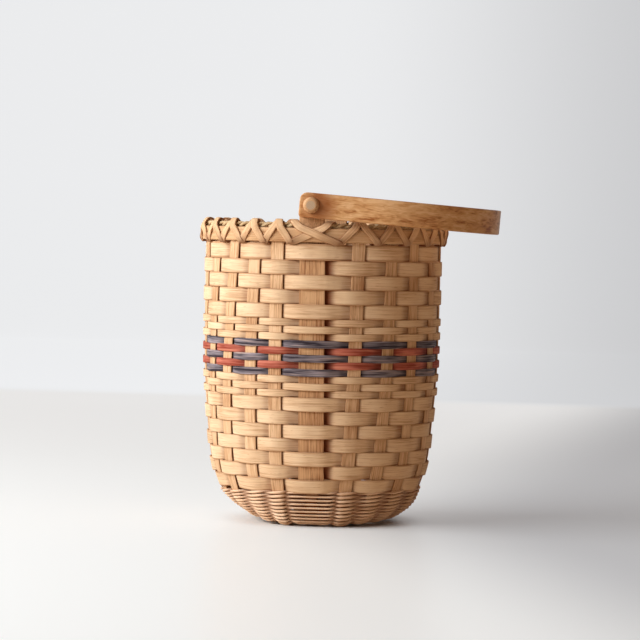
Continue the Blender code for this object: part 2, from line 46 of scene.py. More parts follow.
MM = 0.001
UPRIGHT_WIDTH = 12.6 * MM
UPRIGHT_THICK = 1.2 * MM
UPRIGHT_TOP = 271.5 * MM
TRIMMED_TOP = 253.5 * MM
FOOT_SHARE = 11.0 / 12.6
# Painted shade on the uprights through the foot: strong low down among the twined reed and all through the
# foot on the staves, weaker higher in the foot, none up the wall.
FOOT_SHADE = 0.9
UPPER_FOOT_SHADE = 0.27
TWINED_LOW = 22.0 * MM
FLAT_HALF = 0.42
MAT_PITCH = 17.0 * MM
MAT_STEP = 1.6 * MM
MAT_LANES = range(-2, 3)
MAT_TURN = 6.0 * MM
UPRIGHT_TUCK = 1.0 * MM
STAVE_FOOT_TUCK = 2.6 * MM
UPRIGHT_RIPPLE = 0.25 * MM
BACK_RIPPLE = -0.4
FULL_RIPPLE_PITCH = 12.0 * MM
STAVES = {0: 0.0, 10: pi}

# Compass places of the uprights at the rim and at the foot, in degrees from the front stave towards the
# folded handle. Most of them lean a little.
UPRIGHT_TOPS = (0.4, 22.7, 40.5, 54.9, 71.2, 90, 109, 127.5, 145, 162.5,
                180, 200.5, 222, 244, 266.5, 289, 303.3, 318, 331.2, 343.3)
UPRIGHT_FEET = (2, 21.1, 38, 55.5, 76, 94, 111.5, 128.5, 145.5, 162.5,
                180, 199, 219, 239, 258.5, 278, 293.5, 309, 327.5, 342.8)
LEAN_LOW = 33.1 * MM
LEAN_HIGH = 262.0 * MM
FRONT_TO_BACK = [(18, 12), (19, 11), (0, 10), (1, 9), (2, 8)]
LEFT_TO_RIGHT = [(17, 3), (16, 4), (15, 5), (14, 6), (13, 7)]


def millimetres(*rows):
    """Rows of sizes given in millimetres, in metres."""
    return [tuple(size * MM for size in row) for row in rows]


# Middle of the uprights as radius and height through the foot: at the front and back, the left and the
# right. The last values of the wall's line say how much fuller it is at the right.
FOOT_LINE_FRONT = millimetres(
    (60.0, 3.7), (70.0, 3.7), (79.0, 3.8), (82.6, 7.0), (86.3, 13.0), (89.3, 20.0),
    (91.6, 27.0), (92.9, 33.1))
FOOT_LINE_LEFT = millimetres(
    (55.0, 6.5), (60.0, 8.4), (65.0, 10.8), (71.0, 14.0), (77.8, 17.6), (84.6, 22.4),
    (90.2, 28.4), (92.9, 33.1))
FOOT_LINE_RIGHT = millimetres(
    (59.0, 4.4), (66.0, 5.4), (72.5, 7.2), (78.5, 10.3), (84.0, 14.2), (89.4, 20.3),
    (92.4, 27.4), (94.2, 33.1))
WALL_LINE = millimetres(
    (92.9, 33.1, 1.3), (97.7, 45.6, 1.3), (100.7, 58.2, 1.3), (102.6, 70.7, 1.0), (105.1, 95.7, 0.4),
    (107.4, 120.8, 0.4), (109.0, 146.8, 0.3), (109.8, 192.4, 0.0), (109.8, 272.5, 0.0))

# Rows of the wall from the rim down: how many, and their pitch
TOP_ROW_TOP = 258.9 * MM
ROW_BANDS = ((5, 13.34 * MM), (11, 6.51 * MM), (7, 12.53 * MM))
NARROW_PITCH = 10.0 * MM
ROW_LAP = 0.4 * MM
LOW_ROW_LAP = 1.1 * MM
LOW_ROWS_AFTER = 19
FIRST_ROW_RISE = 1.7 * MM


def place(angle, radius, height):
    """The point at a compass angle, a radius and a height."""
    return Vector((radius * sin(angle), -radius * cos(angle), height))


def around(angle):
    """The level direction round the basket at a compass angle."""
    return Vector((cos(angle), sin(angle), 0.0))


def wall_radius(angle, height):
    """Radius of the uprights' middle at a compass angle and a height above the foot."""
    radii, heights, fuller = zip(*WALL_LINE)
    to_right = max(sin(angle), 0.0) ** 2
    return float(numpy.interp(height, heights, radii) + to_right * numpy.interp(height, heights, fuller))


def wall_direction(angle, height):
    """Run and rise of the wall at a compass angle and a height, as one unit step upwards."""
    step = 2.0 * MM
    run = wall_radius(angle, height + step) - wall_radius(angle, height - step)
    length = hypot(run, 2.0 * step)
    return run / length, 2.0 * step / length


def foot_line(angle):
    """Points of the uprights' middle through the foot at a compass angle, as radius and height."""
    sideways = sin(angle) ** 2
    side_line = FOOT_LINE_RIGHT if sin(angle) > 0.0 else FOOT_LINE_LEFT
    return [Vector(front).lerp(Vector(side), sideways) for front, side in zip(FOOT_LINE_FRONT, side_line)]


def upright_angle(index, height=0.0):
    """Compass angle of an upright at a height: straight up out of the foot, then leaning up the wall."""
    share = min(max((height - LEAN_LOW) / (LEAN_HIGH - LEAN_LOW), 0.0), 1.0)
    return radians(UPRIGHT_FEET[index] + (UPRIGHT_TOPS[index] - UPRIGHT_FEET[index]) * share)


def row_bands():
    """Number, top, bottom and pitch of every flat row, from the rim down."""
    rows = []
    top = TOP_ROW_TOP
    for count, pitch in ROW_BANDS:
        for _ in range(count):
            lap = LOW_ROW_LAP if len(rows) > LOW_ROWS_AFTER else ROW_LAP
            rise = lap / 2 if rows else FIRST_ROW_RISE
            rows.append((len(rows) + 1, top + rise, top - pitch - lap / 2, pitch))
            top -= pitch
    return rows


def travelled(places):
    """Distance along a line of places, at each of them."""
    return numpy.concatenate([[0.0], numpy.cumsum(numpy.linalg.norm(numpy.diff(places, axis=0), axis=1))])


def eased(corners, step, reach, closed=False):
    """Corners of a bent strip rounded off: rows of values every step along, each the mean within reach."""
    table = numpy.array(corners, float)
    if closed:
        table = numpy.vstack([table, table[:1]])
    travel = travelled(table[:, :3])
    count = max(int(round(travel[-1] / step)), 4)
    places = numpy.linspace(0.0, travel[-1], count + 1)
    if closed:
        places = places[:-1]
    table = numpy.stack([numpy.interp(places, travel, column) for column in table.T], axis=1)
    window = max(int(round(reach / step)), 1)
    for _ in range(2):
        if closed:
            padded = numpy.vstack([table[-window:], table, table[:window]])
        else:
            before = 2 * table[0] - table[window:0:-1]
            after = 2 * table[-1] - table[-2:-window - 2:-1]
            padded = numpy.vstack([before, table, after])
        table = sum(padded[shift:shift + len(table)] for shift in range(2 * window + 1)) / (2 * window + 1)
    return table


def lying_flat(table):
    """Splits eased rows of place, direction across, width share and painted shade into what a guide needs."""
    places, across = table[:, :3], table[:, 3:6]
    faces = numpy.cross(numpy.gradient(places, axis=0), across)
    faces /= numpy.linalg.norm(faces, axis=1)[:, None]
    return places, faces, table[:, 6], table[:, 7]


def add_object(name, data):
    """A new object in the scene."""
    made = bpy.data.objects.new(name, data)
    bpy.context.scene.collection.objects.link(made)
    return made


def add_node(tree, kind, wires=(), **settings):
    """A node with its settings, and each input wired to a socket or given a value."""
    node = tree.nodes.new(kind)
    for key, value in settings.items():
        setattr(node, key, value)
    for key, source in dict(wires).items():
        if isinstance(source, bpy.types.NodeSocket):
            tree.links.new(source, node.inputs[key])
        else:
            node.inputs[key].default_value = source
    return node


def maths(tree, operation, first, second=0.0):
    """What an operation makes of two values."""
    return add_node(tree, "ShaderNodeMath", {0: first, 1: second}, operation=operation).outputs[0]


def weighted(tree, *parts):
    """The sum of values, each times its weight."""
    total, *others = [maths(tree, "MULTIPLY", value, weight) for value, weight in parts]
    for other in others:
        total = maths(tree, "ADD", total, other)
    return total


def vector_maths(tree, operation, first, second):
    """What an operation makes of two vectors."""
    return add_node(tree, "ShaderNodeVectorMath", {0: first, 1: second}, operation=operation).outputs[0]


def build_strip_tree():
    """Geometry nodes that draw a strip along guide lines, with a rounded section and its grain marked."""
    tree = bpy.data.node_groups.new("strip_along_guide", "GeometryNodeTree")
    face = tree.interface
    face.new_socket("Guide", in_out="INPUT", socket_type="NodeSocketGeometry")
    for label, value in (("Width", 0.01), ("Thickness", 0.001), ("Squareness", 0.5), ("Stray", 0.0),
                         ("Seed", 0.0), ("Start", 0.0)):
        face.new_socket(label, in_out="INPUT", socket_type="NodeSocketFloat").default_value = value
    face.new_socket("Sides", in_out="INPUT", socket_type="NodeSocketInt").default_value = 16
    face.new_socket("Wood", in_out="INPUT", socket_type="NodeSocketMaterial")
    face.new_socket("Strip", in_out="OUTPUT", socket_type="NodeSocketGeometry")
    given = tree.nodes.new("NodeGroupInput").outputs

    outward, share = (
        add_node(tree, "GeometryNodeInputNamedAttribute", {"Name": label}, data_type=kind).outputs[0]
        for label, kind in (("face", "FLOAT_VECTOR"), ("share", "FLOAT")))
    line = add_node(tree, "GeometryNodeMeshToCurve", {"Mesh": given["Guide"]}).outputs[0]
    tangent = tree.nodes.new("GeometryNodeInputTangent").outputs[0]
    sideways = vector_maths(tree, "CROSS_PRODUCT", tangent, outward)
    wander = add_node(tree, "ShaderNodeTexNoise", {"W": given["Seed"], "Scale": 22.0, "Detail": 1.0},
                      noise_dimensions="4D").outputs[0]
    amount = maths(tree, "MULTIPLY", maths(tree, "SUBTRACT", wander, 0.5), given["Stray"])
    aside = add_node(tree, "ShaderNodeVectorMath", {0: sideways, "Scale": amount},
                     operation="SCALE").outputs[0]
    line = add_node(tree, "GeometryNodeSetPosition", {"Geometry": line, "Offset": aside}).outputs[0]
    line = add_node(tree, "GeometryNodeSetCurveNormal", {"Curve": line, "Normal": outward},
                    mode="FREE").outputs[0]
    reach = add_node(tree, "GeometryNodeCaptureAttribute", {"Geometry": line}, domain="POINT")
    reach.capture_items.new("FLOAT", "Along")
    tree.links.new(tree.nodes.new("GeometryNodeSplineParameter").outputs["Length"], reach.inputs[1])

    ring = add_node(tree, "GeometryNodeCurvePrimitiveCircle",
                    {"Resolution": given["Sides"], "Radius": 1.0}).outputs[0]
    position = tree.nodes.new("GeometryNodeInputPosition").outputs[0]
    spot = add_node(tree, "ShaderNodeSeparateXYZ", {0: position})
    sizes = []
    for axis, size in (("X", given["Thickness"]), ("Y", given["Width"])):
        pull = maths(tree, "POWER", maths(tree, "ABSOLUTE", spot.outputs[axis]), given["Squareness"])
        signed = maths(tree, "MULTIPLY", pull, maths(tree, "SIGN", spot.outputs[axis]))
        sizes.append(maths(tree, "MULTIPLY", signed, maths(tree, "MULTIPLY", size, 0.5)))
    drawn = add_node(tree, "ShaderNodeCombineXYZ", {"X": sizes[0], "Y": sizes[1]}).outputs[0]
    ring = add_node(tree, "GeometryNodeSetPosition", {"Geometry": ring, "Position": drawn}).outputs[0]
    section = add_node(tree, "GeometryNodeCaptureAttribute", {"Geometry": ring}, domain="POINT")
    section.capture_items.new("VECTOR", "Section")
    tree.links.new(position, section.inputs[1])

    strip = add_node(tree, "GeometryNodeCurveToMesh", {
        "Curve": reach.outputs[0], "Profile Curve": section.outputs[0], "Scale": share,
        "Fill Caps": True}).outputs[0]
    cut = add_node(tree, "ShaderNodeSeparateXYZ", {0: section.outputs[1]}).outputs
    along = maths(tree, "ADD", reach.outputs[1], given["Start"])
    grain = add_node(tree, "ShaderNodeCombineXYZ", {"X": along, "Y": cut["Y"], "Z": cut["X"]}).outputs[0]
    strip = add_node(tree, "GeometryNodeStoreNamedAttribute",
                     {"Geometry": strip, "Name": "grain", "Value": grain},
                     data_type="FLOAT_VECTOR", domain="POINT").outputs[0]
    strip = add_node(tree, "GeometryNodeSetShadeSmooth", {"Geometry": strip}).outputs[0]
    strip = add_node(tree, "GeometryNodeRealizeInstances", {"Geometry": strip}).outputs[0]
    strip = add_node(tree, "GeometryNodeSetMaterial",
                     {"Geometry": strip, "Material": given["Wood"]}).outputs[0]
    add_node(tree, "NodeGroupOutput", {"Strip": strip})
    return tree


STRIP_TREE = build_strip_tree()


def strip_piece(name, guides, wood, replaced, slot, closed=False, body="basket", **sizes):
    """A finished piece of one or more strips, each guide a set of places, face directions, width shares and
    how much painted shade it carries there.
    """
    mesh = bpy.data.meshes.new(name)
    corners, edges, faces, shares, painted_shades = [], [], [], [], []
    for places, outward, widths, painted_shading in guides:
        first = len(corners)
        corners += [tuple(point) for point in places]
        faces += [value for direction in outward for value in direction]
        shares += list(widths)
        painted_shades += list(painted_shading)
        edges += [(number, number + 1) for number in range(first, len(corners) - 1)]
        if closed:
            edges.append((len(corners) - 1, first))
    mesh.from_pydata(corners, edges, [])
    mesh.attributes.new("face", "FLOAT_VECTOR", "POINT").data.foreach_set("vector", faces)
    mesh.attributes.new("share", "FLOAT", "POINT").data.foreach_set("value", shares)
    mesh.attributes.new("painted_shade", "FLOAT", "POINT").data.foreach_set("value", painted_shades)
    piece = add_object(name, mesh)
    drawn = piece.modifiers.new("Strip", "NODES")
    drawn.node_group = STRIP_TREE
    sizes["Wood"] = wood
    for socket in STRIP_TREE.interface.items_tree:
        if socket.in_out == "INPUT" and socket.name in sizes:
            drawn[socket.identifier] = sizes[socket.name]
    bpy.context.view_layer.update()
    finished = bpy.data.meshes.new_from_object(piece.evaluated_get(bpy.context.evaluated_depsgraph_get()))
    piece.modifiers.clear()
    piece.data = finished
    finished.name = name
    bpy.data.meshes.remove(mesh)
    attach(piece, body)
    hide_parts(*replaced)


def colour(red, green, blue):
    """A colour given as it looks on a screen, made linear."""
    return tuple(((part / 255 + 0.055) / 1.055) ** 2.4 for part in (red, green, blue)) + (1.0,)


def open_group(name, inputs, outputs):
    """A new shader group with its sockets, and the sockets that it is given."""
    tree = bpy.data.node_groups.new(name, "ShaderNodeTree")
    for label, value in inputs.items():
        kind = "Float" if isinstance(value, float) else {3: "Vector", 4: "Color"}[len(value)]
        socket = tree.interface.new_socket(label, in_out="INPUT", socket_type="NodeSocket" + kind)
        socket.default_value = value
    for label, kind in outputs.items():
        tree.interface.new_socket(label, in_out="OUTPUT", socket_type="NodeSocket" + kind)
    return tree, tree.nodes.new("NodeGroupInput").outputs


def fade(tree, value, start, end, low=0.0, high=1.0, **settings):
    """A value that goes from low to high between start and end, and stays there beyond them."""
    return add_node(tree, "ShaderNodeMapRange", {"Value": value, "From Min": start, "From Max": end,
                                                 "To Min": low, "To Max": high}, **settings).outputs[0]


def blend(tree, share, near, far, **settings):
    """A colour that goes from near to far with a share."""
    return add_node(tree, "ShaderNodeMix", {"Factor": share, "A": near, "B": far}, data_type="RGBA",
                    **settings).outputs["Result"]


def shades(tree, level, dark, mid, pale):
    """A colour that goes with a level from dark over mid to pale."""
    lower = blend(tree, fade(tree, level, 0.0, 0.5), dark, mid)
    return blend(tree, fade(tree, level, 0.5, 1.0), lower, pale)


def marked(tree, label, output):
    """What a piece's mesh has marked on it under a label."""
    return add_node(tree, "ShaderNodeAttribute", attribute_name=label).outputs[output]


def grain_noise(tree, scales, detail, **values):
    """Noise laid over a piece's grain, with a scale along it, across it and through it."""
    laid = vector_maths(tree, "MULTIPLY", marked(tree, "grain", "Vector"), scales)
    return add_node(tree, "ShaderNodeTexNoise",
                    {"Vector": laid, "Scale": 1.0, "Detail": detail, **values}).outputs[0]


def near_edge(tree, half_width, start, end):
    """A mask along both edges of a strip, from a share of its half width to another."""
    across = add_node(tree, "ShaderNodeSeparateXYZ", {0: marked(tree, "grain", "Vector")}).outputs["Y"]
    return fade(tree, maths(tree, "DIVIDE", maths(tree, "ABSOLUTE", across), half_width), start, end)


def build_split_wood():
    """Shader group for split and shaved wood: long fibres, broad tone, short flecks, painted shade along the
    edges and painted shade where the strip lies deep.
    """
    tree, given = open_group("split_wood", {
        "Pale": colour(232, 202, 160), "Mid": colour(212, 170, 124), "Dark": colour(168, 118, 74),
        "Fibre Width": 1.0, "Contrast": 1.0, "Half Width": 0.006, "Edge Shade": 0.3},
        {"Colour": "Color", "Roughness": "Float", "Height": "Float"})
    narrow = maths(tree, "DIVIDE", 1.0, given["Fibre Width"])

    def fibres(along, across, detail):
        """Noise stretched along the strip and narrowed with the fibres' width."""
        spread = maths(tree, "MULTIPLY", narrow, across)
        scales = add_node(tree, "ShaderNodeCombineXYZ", {"X": along, "Y": spread, "Z": spread}).outputs[0]
        return grain_noise(tree, scales, detail, Roughness=0.6)

    fine = fibres(60.0, 2200.0, 3.0)
    streaks = fibres(28.0, 1250.0, 3.0)
    tone = fibres(17.0, 30.0, 2.0)
    flecks = fibres(130.0, 1100.0, 1.0)
    mixed = weighted(tree, (streaks, 0.5), (fine, 0.3), (tone, 0.5))
    spread = maths(tree, "MULTIPLY", given["Contrast"], 2.5)
    level = maths(tree, "ADD", maths(tree, "MULTIPLY", maths(tree, "SUBTRACT", mixed, 0.65), spread), 0.5)
    tint = shades(tree, level, given["Dark"], given["Mid"], given["Pale"])
    marks = maths(tree, "MULTIPLY", fade(tree, flecks, 0.66, 0.78), 0.5)
    # Painted shade: each strip darkens towards both edges, where it meets its neighbours.
    edge_shade = maths(tree, "MULTIPLY", near_edge(tree, given["Half Width"], 0.84, 1.0), given["Edge Shade"])
    edge_shade = maths(tree, "MULTIPLY", edge_shade, maths(tree, "ADD", tone, 0.5))
    tint = blend(tree, maths(tree, "MAXIMUM", marks, edge_shade), tint, given["Dark"])
    # Painted shade: where the strip is marked as lying deep, behind or under something, it turns to a darker
    # crevice colour, less so on its inner face.
    crevice_shade_colour = blend(tree, 1.0, given["Dark"], colour(172, 116, 76), blend_type="MULTIPLY")
    through = add_node(tree, "ShaderNodeSeparateXYZ", {0: marked(tree, "grain", "Vector")}).outputs["Z"]
    outer_face = fade(tree, through, -0.3 * MM, 0.1 * MM, 0.25)
    tint = blend(tree, maths(tree, "MULTIPLY", marked(tree, "painted_shade", "Fac"), outer_face), tint, crevice_shade_colour)
    rough = maths(tree, "ADD", 0.46, maths(tree, "MULTIPLY", streaks, 0.3))
    height = weighted(tree, (fine, 0.5), (streaks, 0.5))
    add_node(tree, "NodeGroupOutput", {"Colour": tint, "Roughness": rough, "Height": height})
    return tree


SPLIT_WOOD = build_split_wood()


def new_material(name, shine):
    """A new material, its node tree and its shader."""
    material = bpy.data.materials.new(name)
    material.use_nodes = True
    shader = material.node_tree.nodes["Principled BSDF"]
    shader.inputs["Specular IOR Level"].default_value = shine
    return material, material.node_tree, shader


def grouped_finish(name, group_tree, values, shine, relief, relief_depth):
    """A material whose colour, roughness and relief come from a wood group."""
    material, tree, shader = new_material(name, shine)
    wood = add_node(tree, "ShaderNodeGroup", values, node_tree=group_tree).outputs
    bump = add_node(tree, "ShaderNodeBump", {"Height": wood["Height"], "Strength": relief,
                                             "Distance": relief_depth})
    for label, source in (("Base Color", wood["Colour"]), ("Roughness", wood["Roughness"]),
                          ("Normal", bump.outputs["Normal"])):
        tree.links.new(source, shader.inputs[label])
    return material


def wood_finish(name, pale, mid, dark, fibre=1.0, contrast=1.0, half_width=6.3 * MM, painted_shade=0.3,
                relief_depth=0.12 * MM):
    """A wood material whose fibres run along the strip."""
    return grouped_finish(name, SPLIT_WOOD, {
        "Pale": colour(*pale), "Mid": colour(*mid), "Dark": colour(*dark), "Fibre Width": fibre,
        "Contrast": contrast, "Half Width": half_width, "Edge Shade": painted_shade}, 0.12, 0.55, relief_depth)


def upright_end(index, side):
    """Corners of one end of a mat splint, from under the foot up to the rim."""
    foot = upright_angle(index)
    is_stave = index in STAVES
    corners = []
    for radius, height in foot_line(foot)[:-1]:
        tucked_in = STAVE_FOOT_TUCK if is_stave and height > MAT_TURN else 0.0
        # Painted shade through the foot.
        painted_shade = FOOT_SHADE if is_stave or height < TWINED_LOW else UPPER_FOOT_SHADE
        corners.append((*place(foot, radius - tucked_in, height), *(around(foot) * side), FOOT_SHARE, painted_shade))
    tucked_in = UPRIGHT_TUCK if is_stave else 0.0
    for number, top, bottom, pitch in reversed(row_bands()):
        height = (top + bottom) / 2
        angle = upright_angle(index, height)
        ripple = UPRIGHT_RIPPLE * (1.0 if (index + number) % 2 == 0 else BACK_RIPPLE)
        swell = ripple * min(pitch / FULL_RIPPLE_PITCH, 1.0)
        if height < TRIMMED_TOP or not is_stave:
            radius = wall_radius(angle, height) + swell - tucked_in
            corners.append((*place(angle, radius, height), *(around(angle) * side), 1.0, 0.0))
    top = TRIMMED_TOP if is_stave else UPRIGHT_TOP
    angle = upright_angle(index, top)
    corners.append((*place(angle, WALL_LINE[-1][0] - tucked_in, top), *(around(angle) * side), 1.0, 0.0))
    return corners


def mat_splint(ends, lane, direction):
    """Corners of one whole splint: down one upright, over and under across the mat, and up the other."""
    across = Vector((direction.y, -direction.x, 0.0))
    aside = Vector((-direction.y, direction.x, 0.0)) * (lane * MAT_PITCH)
    runs_over = direction.x != 0.0
    middle = []
    for crossing in MAT_LANES:
        raised = ((crossing + lane) % 2 == 0) == runs_over
        for edge in (-1, 1):
            point = aside + direction * (crossing * MAT_PITCH + edge * UPRIGHT_WIDTH * FLAT_HALF)
            point.z = UPRIGHT_THICK / 2 + (MAT_STEP if raised else 0.0)
            middle.append((*point, *across, 1.0, 0.0))
    return upright_end(ends[0], 1.0)[::-1] + middle + upright_end(ends[1], -1.0)


upright_wood = wood_finish("upright_splint_wood", (236, 206, 170), (220, 183, 144), (166, 118, 80),
                           fibre=1.2, contrast=1.5, half_width=UPRIGHT_WIDTH / 2, painted_shade=0.35)
for kind, ends_of, direction, turn in (("front_back", FRONT_TO_BACK, Vector((0.0, 1.0, 0.0)), -1),
                                       ("left_right", LEFT_TO_RIGHT, Vector((1.0, 0.0, 0.0)), 1)):
    for number, (lane, ends) in enumerate(zip(MAT_LANES, ends_of), 1):
        table = eased(mat_splint(ends, turn * lane, direction), step=2.6 * MM, reach=3.0 * MM)
        strip_piece(f"upright_splint_{kind}_{number}", [lying_flat(table)], upright_wood,
                    [f"upright_{kind}_{number}"], "upright_splint", Width=UPRIGHT_WIDTH,
                    Thickness=UPRIGHT_THICK, Squareness=0.34, Stray=0.8 * MM, Seed=float(number + 7 * turn),
                    Start=number * 1.3 + turn)


# Flat rows of the wall
# Twenty-three rows of flat splint, each woven over one upright and behind the next: five wide ones under
# the rim, eleven narrow ones round the middle, seven wide ones low down. Their ends hide behind an upright.

WEAVER_THICK = 1.1 * MM
STAVE_WIDTH = 23.5 * MM
STAVE_FACE = 1.35 * MM
FLOAT_SWELL = 0.8 * MM
BEHIND_ROOM = 0.15 * MM
CRACK_DEPTH = 1.0 * MM
CRACK_REACH = 2.2 * MM
STAVE_CRACK_REACH = 5.0 * MM
CRACK_FACE = -0.15 * MM
STAVE_CRACK_FACE = -1.0 * MM
FLOAT_DEPTH = 1.8 * MM
WIDE_PINCH = 0.05
NARROW_PINCH = 0.11
# Painted shade on the rows: it begins where a row lies a little below the wall's line and is full a
# millimetre deeper; where a row dives under an upright it is weaker, so the dark sits mostly where a row
# comes out past an upright.
SHADE_START = -0.1 * MM
SHADE_REACH = 1.0 * MM
DIVE_SHADE = 0.45
DIVE_SHARE = 0.85
FIRST_LAP = 8
LAP_STEP = 5
LAP_SPREAD = 7
CREST_LEAD = 0.2
STAVE_CREST = (-0.3, 0.6)
BLUE_ROWS = (9, 11, 13)
RED_ROWS = (10, 12)


def row_corner(angle, height, depth, shade_weight=1.0):
    """One corner of a row: its place at a depth from the wall's line, the wall's upward direction, how deep
    it lies as its width share, and its painted shade, which darkens it where it lies deep beside an upright.
    """
    run, rise = wall_direction(angle, height)
    radius = wall_radius(angle, height) + depth * rise
    upward = around(angle + pi / 2) * -run
    upward.z = rise
    painted_shade = min(max((SHADE_START - depth) / SHADE_REACH, 0.0), 1.0) * shade_weight
    sunk = min(max((FLOAT_DEPTH - depth) / (2 * FLOAT_DEPTH), 0.0), 1.0)
    return (*place(angle, radius, height - depth * run), *upward, sunk, painted_shade)


def curved(before, after, height, easing, shade_weight=1.0):
    """Corners between two places and depths of a row, so that it bends softly there."""
    corners = []
    for share in (0.2, 0.4, 0.6, 0.8):
        angle = before[0] + (after[0] - before[0]) * share
        corners.append(row_corner(angle, height, before[1] + (after[1] - before[1]) * easing(share), shade_weight))
    return corners


def woven_row(row, height):
    """Corners of one row, from behind an upright at the back once round to the same upright. It comes out
    steeply past each upright, bows over the next and dives slowly under the one after.
    """
    count = len(UPRIGHT_FEET)
    start = FIRST_LAP + (row * LAP_STEP) % LAP_SPREAD
    start += (start + row) % 2
    corners = []
    left = None
    for step in range(count + 1):
        index = (start + step) % count
        angle = upright_angle(index, height) + (2 * pi if start + step >= count else 0.0)
        is_stave = index in STAVES
        radius = wall_radius(angle, height)
        half = (STAVE_WIDTH if is_stave else UPRIGHT_WIDTH) / 2 / radius
        if (index + row) % 2 == 1:
            depth = (STAVE_FACE if is_stave else UPRIGHT_THICK / 2) + WEAVER_THICK / 2 + FLOAT_SWELL
            crest = STAVE_CREST if is_stave else (-CREST_LEAD, -CREST_LEAD)
            first, last = ((angle + half * share, depth) for share in crest)
            corners += curved(left, first, height, lambda share: sin(pi / 2 * share))
            corners.append(row_corner(first[0], height, depth))
            if is_stave:
                corners.append(row_corner(last[0], height, depth))
            left = last
            continue
        depth = -(UPRIGHT_THICK + WEAVER_THICK) / 2 - (UPRIGHT_TUCK if is_stave else 0.0) - BEHIND_ROOM
        if step == count:
            depth -= WEAVER_THICK
        dive = (angle - half * (1.0 if is_stave else DIVE_SHARE), depth)
        if step:
            corners += curved(left, dive, height, lambda share: (1.0 - cos(pi * share)) / 2, DIVE_SHADE)
        corners.append(row_corner(dive[0], height, depth, DIVE_SHADE))
        if step == count:
            corners.append(row_corner(angle + half, height, depth))
            continue
        reach, face = (STAVE_CRACK_REACH, STAVE_CRACK_FACE) if is_stave else (CRACK_REACH, CRACK_FACE)
        left = (angle + half + reach / radius, face)
        corners += [row_corner(angle + half, height, depth - CRACK_DEPTH), row_corner(left[0], height, face)]
    return corners


natural_wood, narrow_wood = (
    wood_finish(name, (244, 222, 192), (232, 203, 167), (176, 128, 90), half_width=half_width, painted_shade=0.7)
    for name, half_width in (("natural_splint_wood", 6.3 * MM), ("narrow_splint_wood", 3.2 * MM)))


def build_worn_dye():
    """Shader group that lays dye over split wood: it sits unevenly, is rubbed thin along its fibres, and is
    darkened by painted shade where the strip lies deep.
    """
    tree, given = open_group("worn_dye", {
        "Wood": colour(210, 170, 120), "Dye": colour(100, 95, 105), "Deep Dye": colour(60, 58, 68),
        "Rubbed": 0.3}, {"Colour": "Color"})
    streak = grain_noise(tree, (30.0, 700.0, 700.0), 4.0)
    blotch = grain_noise(tree, (40.0, 160.0, 160.0), 2.0)
    taken_up = fade(tree, weighted(tree, (streak, 0.6), (blotch, 0.4)), 0.4, 0.66)
    dyed = blend(tree, taken_up, given["Deep Dye"], given["Dye"])
    thin = maths(tree, "MULTIPLY", fade(tree, streak, 0.56, 0.78), given["Rubbed"])
    worn = blend(tree, thin, dyed, given["Wood"])
    # Painted shade: the dye turns to a darker crevice colour where the strip is marked as lying deep.
    crevice_shade_colour = blend(tree, 1.0, given["Deep Dye"], colour(150, 110, 90), blend_type="MULTIPLY")
    add_node(tree, "NodeGroupOutput", {"Colour": blend(tree, marked(tree, "painted_shade", "Fac"), worn, crevice_shade_colour)})
    return tree


WORN_DYE = build_worn_dye()


def dyed_finish(name, dye, deep, rubbed):
    """Split wood with a worn dye over it."""
    material = wood_finish(name, (214, 176, 130), (196, 152, 106), (150, 104, 66), half_width=3.1 * MM)
    tree = material.node_tree
    shader = tree.nodes["Principled BSDF"]
    wood = shader.inputs["Base Color"].links[0].from_socket
    over = add_node(tree, "ShaderNodeGroup", {
        "Wood": wood, "Dye": colour(*dye), "Deep Dye": colour(*deep), "Rubbed": rubbed}, node_tree=WORN_DYE)
    tree.links.new(over.outputs["Colour"], shader.inputs["Base Color"])
    return material


blue_dye = dyed_finish("slate_blue_dye", (170, 163, 174), (50, 44, 53), 0.5)
red_dye = dyed_finish("brick_red_dye", (214, 132, 114), (144, 64, 48), 0.45)
for row, top, bottom, pitch in row_bands():
    is_narrow = pitch < NARROW_PITCH
    if row in BLUE_ROWS:
        kind, slot, finish = "blue_weaver", "blue_splint", blue_dye
    elif row in RED_ROWS:
        kind, slot, finish = "red_weaver", "red_splint", red_dye
    elif is_narrow:
        kind, slot, finish = "narrow_weaver", "weaver_splint", narrow_wood
    else:
        kind, slot, finish = "wide_weaver", "weaver_splint", natural_wood
    table = eased(woven_row(row, (top + bottom) / 2), step=1.0 * MM, reach=1.2 * MM)
    table[:, 6] = 1.0 - (NARROW_PINCH if is_narrow else WIDE_PINCH) * table[:, 6]
    strip_piece(f"{kind}_row_{row:02d}", [lying_flat(table)], finish, [f"{kind}_{row:02d}"], slot,
                Width=top - bottom, Thickness=WEAVER_THICK, Squareness=0.36, Stray=1.0 * MM, Seed=3.0,
                Start=row * 0.83)


# Twined foot
# Pairs of thin round reed that bind the uprights where they turn up. At each gap the two strands of a
# row cross, so the one in front of an upright slants up to the right. The last few rows lie under the basket.

REED_THICK = 2.1 * MM
TWINED_ROWS = 14
TWINED_NODES = 12
FIRST_TWINED = 0.05
LAST_TWINED = 0.99
LEFT_DROP = 0.13
TWIST_HEIGHT = 0.9 * MM
TWIST_SHARE = 0.84
FRONT_SHARE = 1.25
STRAIGHT_SHARE = 0.9
TWIST_DEPTH = -0.5 * MM
FRONT_BULGE = 0.6 * MM
STAVE_SIDE_BULGE = 0.8 * MM
STRAIGHT_DEPTH = 1.2 * MM
# Painted shade on the twined strands: full where a strand passes behind an upright, half where the two
# strands cross, none in front.
BACK_STRAND_SHADE = 1.0
TWIST_SHADE = 0.5
TWIST_ROOM = 0.8
SLANT_HALF = 0.4
STRAIGHT_START = 0.12
BULGE_SHARE = 0.35
DEPTH_EASE = 0.65


